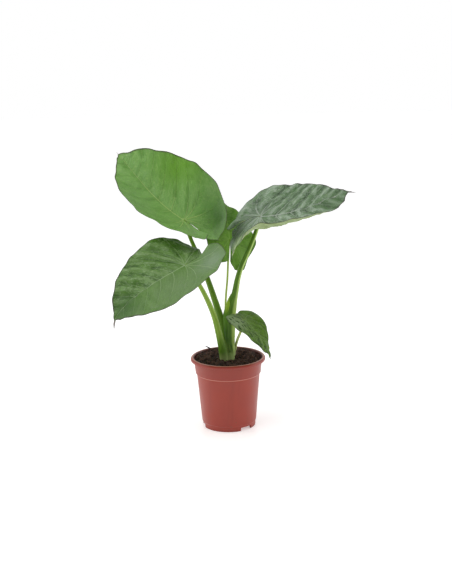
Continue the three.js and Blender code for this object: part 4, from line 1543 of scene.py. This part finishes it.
@dataclass
class PottingMix:
    """The potting mix: a rough bed, with crumbs, fibres, bark chips and a twig on it.

    side is the bed's section against the pot, from the top down, as radii and heights. twig is the
    course of the twig, and twig_sizes its half width along the way.
    """

    level: float = 156.0
    rim_level: float = 154.5
    rise: float = 0.055
    edge: float = 75.4
    side: tuple[Pair, ...] = (
        (74.0, 140.0), (72.7, 125.7), (70.1, 123.5), (60.5, 14.8), (59.0, 9.9), (36.2, 9.9), (34.2, 1.9))
    crumbs: int = 2600
    smallest: float = 0.7
    largest: float = 4.7
    largest_at_edge: float = 1.3
    fibres: int = 420
    chips: int = 34
    twig: tuple[Point, ...] = (
        (-30, 59, 157), (-36, 59.5, 160.2), (-42, 60, 163), (-47, 61, 166.6), (-53.5, 61.5, 169.6))
    twig_sizes: tuple[float, ...] = (2.8, 2.9, 2.2, 1.3, 0.35)
    seed: int = 11
    finish: SoilFinish = SoilFinish()
    pieces: list[tuple[Piece, float]] = field(default_factory=list)

    def height(self, x: np.ndarray, y: np.ndarray) -> np.ndarray:
        """Works out how high the bed lies.

        Args:
            x, y: places on it.

        Returns:
            The heights in millimetres.
        """
        radius = np.hypot(x, y)
        uneven = 0.7 * (np.sin(x * 0.11 + y * 0.07) + np.sin(y * 0.16 - x * 0.05 + 2) + np.sin(x * 0.31 + 1))
        rough = 0.55 * np.sin(x * 0.9 + 2 * np.sin(y * 0.5)) * np.sin(y * 0.8 + 1.3 * np.sin(x * 0.6))
        fine = 0.3 * np.sin(x * 2.1 + y * 1.3) * np.sin(y * 2.4 - x * 0.7)
        dip = (self.level - self.rim_level) * ease(radius, self.edge - 12, self.edge)
        bumps = (uneven + rough + fine) * (1 - ease(radius, self.edge - 3, self.edge))
        return self.level + self.rise * y - dip + bumps

    def build(self) -> None:
        """Builds the bed and everything that lies on it, each with the lightness of its tone."""
        random = np.random.default_rng(self.seed)
        self.pieces = [(self.build_bed(), 0.0), (self.build_crumbs(random), 0.3),
                       (self.build_fibres(random), 0.8), (self.build_chips(random), 0.6),
                       (self.build_twig(), 0.15)]

    def build_bed(self) -> Piece:
        """Builds the bed, which fills the pot down to its floor.

        Returns:
            The bed.
        """
        turns = np.linspace(0, TURN, 120, endpoint=False)
        rings = []
        for radius in np.linspace(1.4, self.edge, 54):
            x, y = radius * np.cos(turns), radius * np.sin(turns)
            rings.append(np.column_stack([x, y, self.height(x, y)]))
        rings += [ring(radius, height, turns) for radius, height in self.side]
        middle = self.height(np.zeros(1), np.zeros(1))[0]
        return turned_solid("soil_fine", rings, (middle, self.side[-1][1]), downward=True)

    def scatter(self, random: np.random.Generator, count: int, inside: float) -> np.ndarray:
        """Draws random places on the bed.

        Args:
            random: the source of the draws.
            count: number of places.
            inside: radius of the round that they lie in.

        Returns:
            Rows of x, y and height.
        """
        turn, radius = random.uniform(0, TURN, count), inside * np.sqrt(random.uniform(0.02, 1, count))
        x, y = radius * np.cos(turn), radius * np.sin(turn)
        return np.column_stack([x, y, self.height(x, y)])

    def build_crumbs(self, random: np.random.Generator) -> Piece:
        """Builds crumbs of many sizes, each an uneven twelve-cornered lump.

        Args:
            random: the source of the draws.

        Returns:
            The crumbs, as one piece.
        """
        gold = (1 + math.sqrt(5)) / 2
        corners = np.array([(-1, gold, 0), (1, gold, 0), (-1, -gold, 0), (1, -gold, 0), (0, -1, gold),
                            (0, 1, gold), (0, -1, -gold), (0, 1, -gold), (gold, 0, -1), (gold, 0, 1),
                            (-gold, 0, -1), (-gold, 0, 1)]) / math.hypot(1, gold)
        around = [(0, 11, 5), (0, 5, 1), (0, 1, 7), (0, 7, 10), (0, 10, 11), (1, 5, 9), (5, 11, 4),
                  (11, 10, 2), (10, 7, 6), (7, 1, 8), (3, 9, 4), (3, 4, 2), (3, 2, 6), (3, 6, 8),
                  (3, 8, 9), (4, 9, 5), (2, 4, 11), (6, 2, 10), (8, 6, 7), (9, 8, 1)]
        points, faces = [], []
        for place in self.scatter(random, self.crumbs, self.edge - 2):
            size = self.smallest + (self.largest - self.smallest) * random.uniform(0, 1) ** 4
            if place[0] ** 2 + place[1] ** 2 > (self.edge - 4) ** 2:
                size = min(size, self.largest_at_edge)
            lump = corners * (1 + random.uniform(-0.28, 0.28, (12, 1))) * size
            lump = lump * random.uniform(0.6, 1.25, 3)
            turn = random.uniform(0, TURN)
            cos, sin = math.cos(turn), math.sin(turn)
            spin = np.array([[cos, -sin, 0], [sin, cos, 0], [0, 0, 1]])
            faces += shifted(around, len(corners) * len(points))
            points.append(lump @ spin + place + (0, 0, 0.25 * size))
        return make_object("soil_crumbs", np.vstack(points), faces, smooth=False)

    def build_fibres(self, random: np.random.Generator) -> Piece:
        """Builds thin bent fibres that lie on the bed.

        Args:
            random: the source of the draws.

        Returns:
            The fibres, as one piece.
        """
        points, faces = [], []
        run, wide, deep = np.linspace(-0.5, 0.5, 6), np.array([-1, 0, 1, 0]), np.array([0, 1, 0, -1])
        for place in self.scatter(random, self.fibres, self.edge - 8):
            heading, length = random.uniform(0, TURN), random.uniform(4, 15)
            bend, thick = random.uniform(-1.4, 1.4), random.uniform(0.14, 0.34)
            angle = heading + bend * run
            x = place[0] + length * run * np.cos(angle)
            y = place[1] + length * run * np.sin(angle)
            lift = random.uniform(0.2, 1.0) + random.uniform(-0.9, 1.3) * run
            middles = np.column_stack([x, y, self.height(x, y) + lift])
            along = unit(np.gradient(middles, axis=0))
            section = (np.tile(thick * curve, (len(run), 1)) for curve in (wide, deep))
            faces += shifted(tube_faces(len(run), len(wide)), len(run) * len(wide) * len(points))
            points.append(wrap(middles, along, (0, 0, 1), *section).reshape(-1, 3))
        return make_object("soil_fibres", np.vstack(points), faces)

    def build_chips(self, random: np.random.Generator) -> Piece:
        """Builds flat, uneven chips of bark.

        Args:
            random: the source of the draws.

        Returns:
            The chips, as one piece.
        """
        block = np.array([(a, b, c) for c in (-1, 1) for b in (-1, 1) for a in (-1, 1)], float)
        sides = [(0, 2, 3, 1), (4, 5, 7, 6), (0, 1, 5, 4), (2, 6, 7, 3), (0, 4, 6, 2), (1, 3, 7, 5)]
        points, faces = [], []
        for place in self.scatter(random, self.chips, self.edge - 9):
            half = np.array([random.uniform(1.6, 5), random.uniform(0.9, 2.2), random.uniform(0.4, 0.9)])
            corners = block * half * random.uniform(0.55, 1.2, (8, 1))
            spin = Matrix.Rotation(random.uniform(0, 6.28), 3, "Z")
            turn = spin @ Matrix.Rotation(random.uniform(-0.4, 0.4), 3, "X")
            faces += shifted(sides, len(block) * len(points))
            points.append(corners @ np.array(turn).T + place + (0, 0, 0.7))
        return make_object("soil_bark", np.vstack(points), faces, smooth=False)

    def build_twig(self, steps: int = 17, sides: int = 9) -> Piece:
        """Builds the broken twig that stands up at the back left.

        Args:
            steps: number of rings along it.
            sides: number of points in a ring.

        Returns:
            The twig.
        """
        share = np.linspace(0, 1, steps)
        middles = spline(np.array(self.twig), share)
        size = np.interp(share, np.linspace(0, 1, len(self.twig)), self.twig_sizes)[:, None]
        along = unit(np.gradient(middles, axis=0))
        turns = np.linspace(0, TURN, sides, endpoint=False)
        knobs = 1 + 0.22 * np.sin(3 * turns[None] + 9 * share[:, None]) * np.cos(14 * share[:, None])
        wide, deep = -size * knobs * np.cos(turns), 0.62 * size * knobs * np.sin(turns)
        points = wrap(middles, along, (0, 1, 0), wide, deep)
        return make_object("soil_twig", points.reshape(-1, 3), tube_faces(steps, sides))

    def dress(self) -> None:
        """Gives each piece its finish and settles it."""
        for piece, lightness in self.pieces:
            piece.data.materials.append(self.finish.dress(f"{piece.name}_mix", lightness))
            settle(piece, "potting_mix", *(("soil",) if piece.name == "soil_fine" else ()))


# ---------------------------------------------------------------- studio


@dataclass
class Studio:
    """Pale floor, soft white light, and the camera at the photograph's viewing angle.

    Lengths are metres and angles degrees. Each lamp is its name, its place, its size and its power,
    and sides and front are how bright the surroundings are.
    """

    lens: float = 64.7
    sensor: float = 36.0
    position: Point = (0.0, -2.300, 0.8397)
    pitch: float = 12.931
    yaw: float = -0.038
    roll: float = -1.17
    view_end: float = 100.0
    sides: float = 0.72
    front: float = 0.3
    lamps: tuple[tuple[str, Point, float, float], ...] = (
        ("lamp_above", (-0.9, -0.7, 2.3), 1.5, 26.0), ("lamp_left", (-1.9, 0.1, 0.9), 1.3, 7.0),
        ("lamp_right", (1.9, 0.2, 0.8), 1.3, 8.0))
    aim: Point = (0, 0, 0.3)
    floor_half: float = 12.0
    floor_glow: float = 0.42

    def place_camera(self) -> None:
        """Places the camera and makes it the scene's own."""
        pitch, yaw, roll = (math.radians(a) for a in (self.pitch, self.yaw, self.roll))
        ahead = Vector((math.sin(yaw) * math.cos(pitch), math.cos(yaw) * math.cos(pitch), -math.sin(pitch)))
        right = ahead.cross(Vector((0, 0, 1))).normalized()
        above = right.cross(ahead)
        right, above = (right * math.cos(roll) + above * math.sin(roll),
                        above * math.cos(roll) - right * math.sin(roll))
        data = bpy.data.cameras.new("camera")
        data.lens, data.sensor_fit, data.sensor_height = self.lens, "VERTICAL", self.sensor
        data.clip_end = self.view_end
        camera = bpy.data.objects.new("camera", data)
        turn = Matrix((right, above, -ahead)).transposed().to_4x4()
        camera.matrix_world = Matrix.Translation(self.position) @ turn
        bpy.context.scene.collection.objects.link(camera)
        bpy.context.scene.camera = camera

    def light(self) -> None:
        """Lights the plant from all round, with large soft lamps above it."""
        world = bpy.data.worlds.new("studio")
        world.use_nodes = True
        w = Wiring(world.node_tree)
        backdrop = world.node_tree.nodes["Background"]
        _, depth, _ = w.parts(w.add("ShaderNodeTexCoord").outputs["Generated"])
        around = w.remap(depth, -0.9, -0.1, self.front, self.sides)
        seen = w.add("ShaderNodeLightPath").outputs["Is Camera Ray"]
        w.feed(backdrop.inputs["Color"], (1, 1, 1))
        w.feed(backdrop.inputs["Strength"], w.math("MAXIMUM", around, seen))
        bpy.context.scene.world = world
        bpy.context.scene.view_settings.view_transform = "Standard"
        for name, place, size, power in self.lamps:
            data = bpy.data.lights.new(name, "AREA")
            data.size, data.energy = size, power
            lamp = bpy.data.objects.new(name, data)
            lamp.location = place
            lamp.rotation_euler = (Vector(self.aim) - Vector(place)).to_track_quat("-Z", "Y").to_euler()
            bpy.context.scene.collection.objects.link(lamp)

    def lay_floor(self) -> None:
        """Lays the plain pale floor, which is no part of the plant."""
        half = self.floor_half / MM
        corners = np.array([(-half, -half, 0), (half, -half, 0), (half, half, 0), (-half, half, 0)])
        floor = make_object("studio_floor", corners, [(0, 1, 2, 3)], smooth=False)
        floor.data.materials.append(Surface("studio_floor").finish({
            "Base Color": (0.9, 0.9, 0.9), "Roughness": 0.32, "Emission Color": (1, 1, 1),
            "Emission Strength": self.floor_glow}))


def main() -> None:
    """Builds the studio, the pot, the potting mix and the leaves."""
    logging.basicConfig(level=logging.INFO, format="%(message)s")
    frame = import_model()
    LOG.info("solids: %d", len(frame["nodes"]))
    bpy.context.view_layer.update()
    studio = Studio()
    studio.place_camera()
    studio.light()
    studio.lay_floor()
    shelf = EffectShelf()
    shelf.build()
    pot = Pot()
    pot.build()
    pot.dress(shelf)
    mix = PottingMix()
    mix.build()
    mix.dress()
    for leaf in make_leaves():
        leaf.build()
        leaf.dress(shelf)


if __name__ == "__main__":
    main()
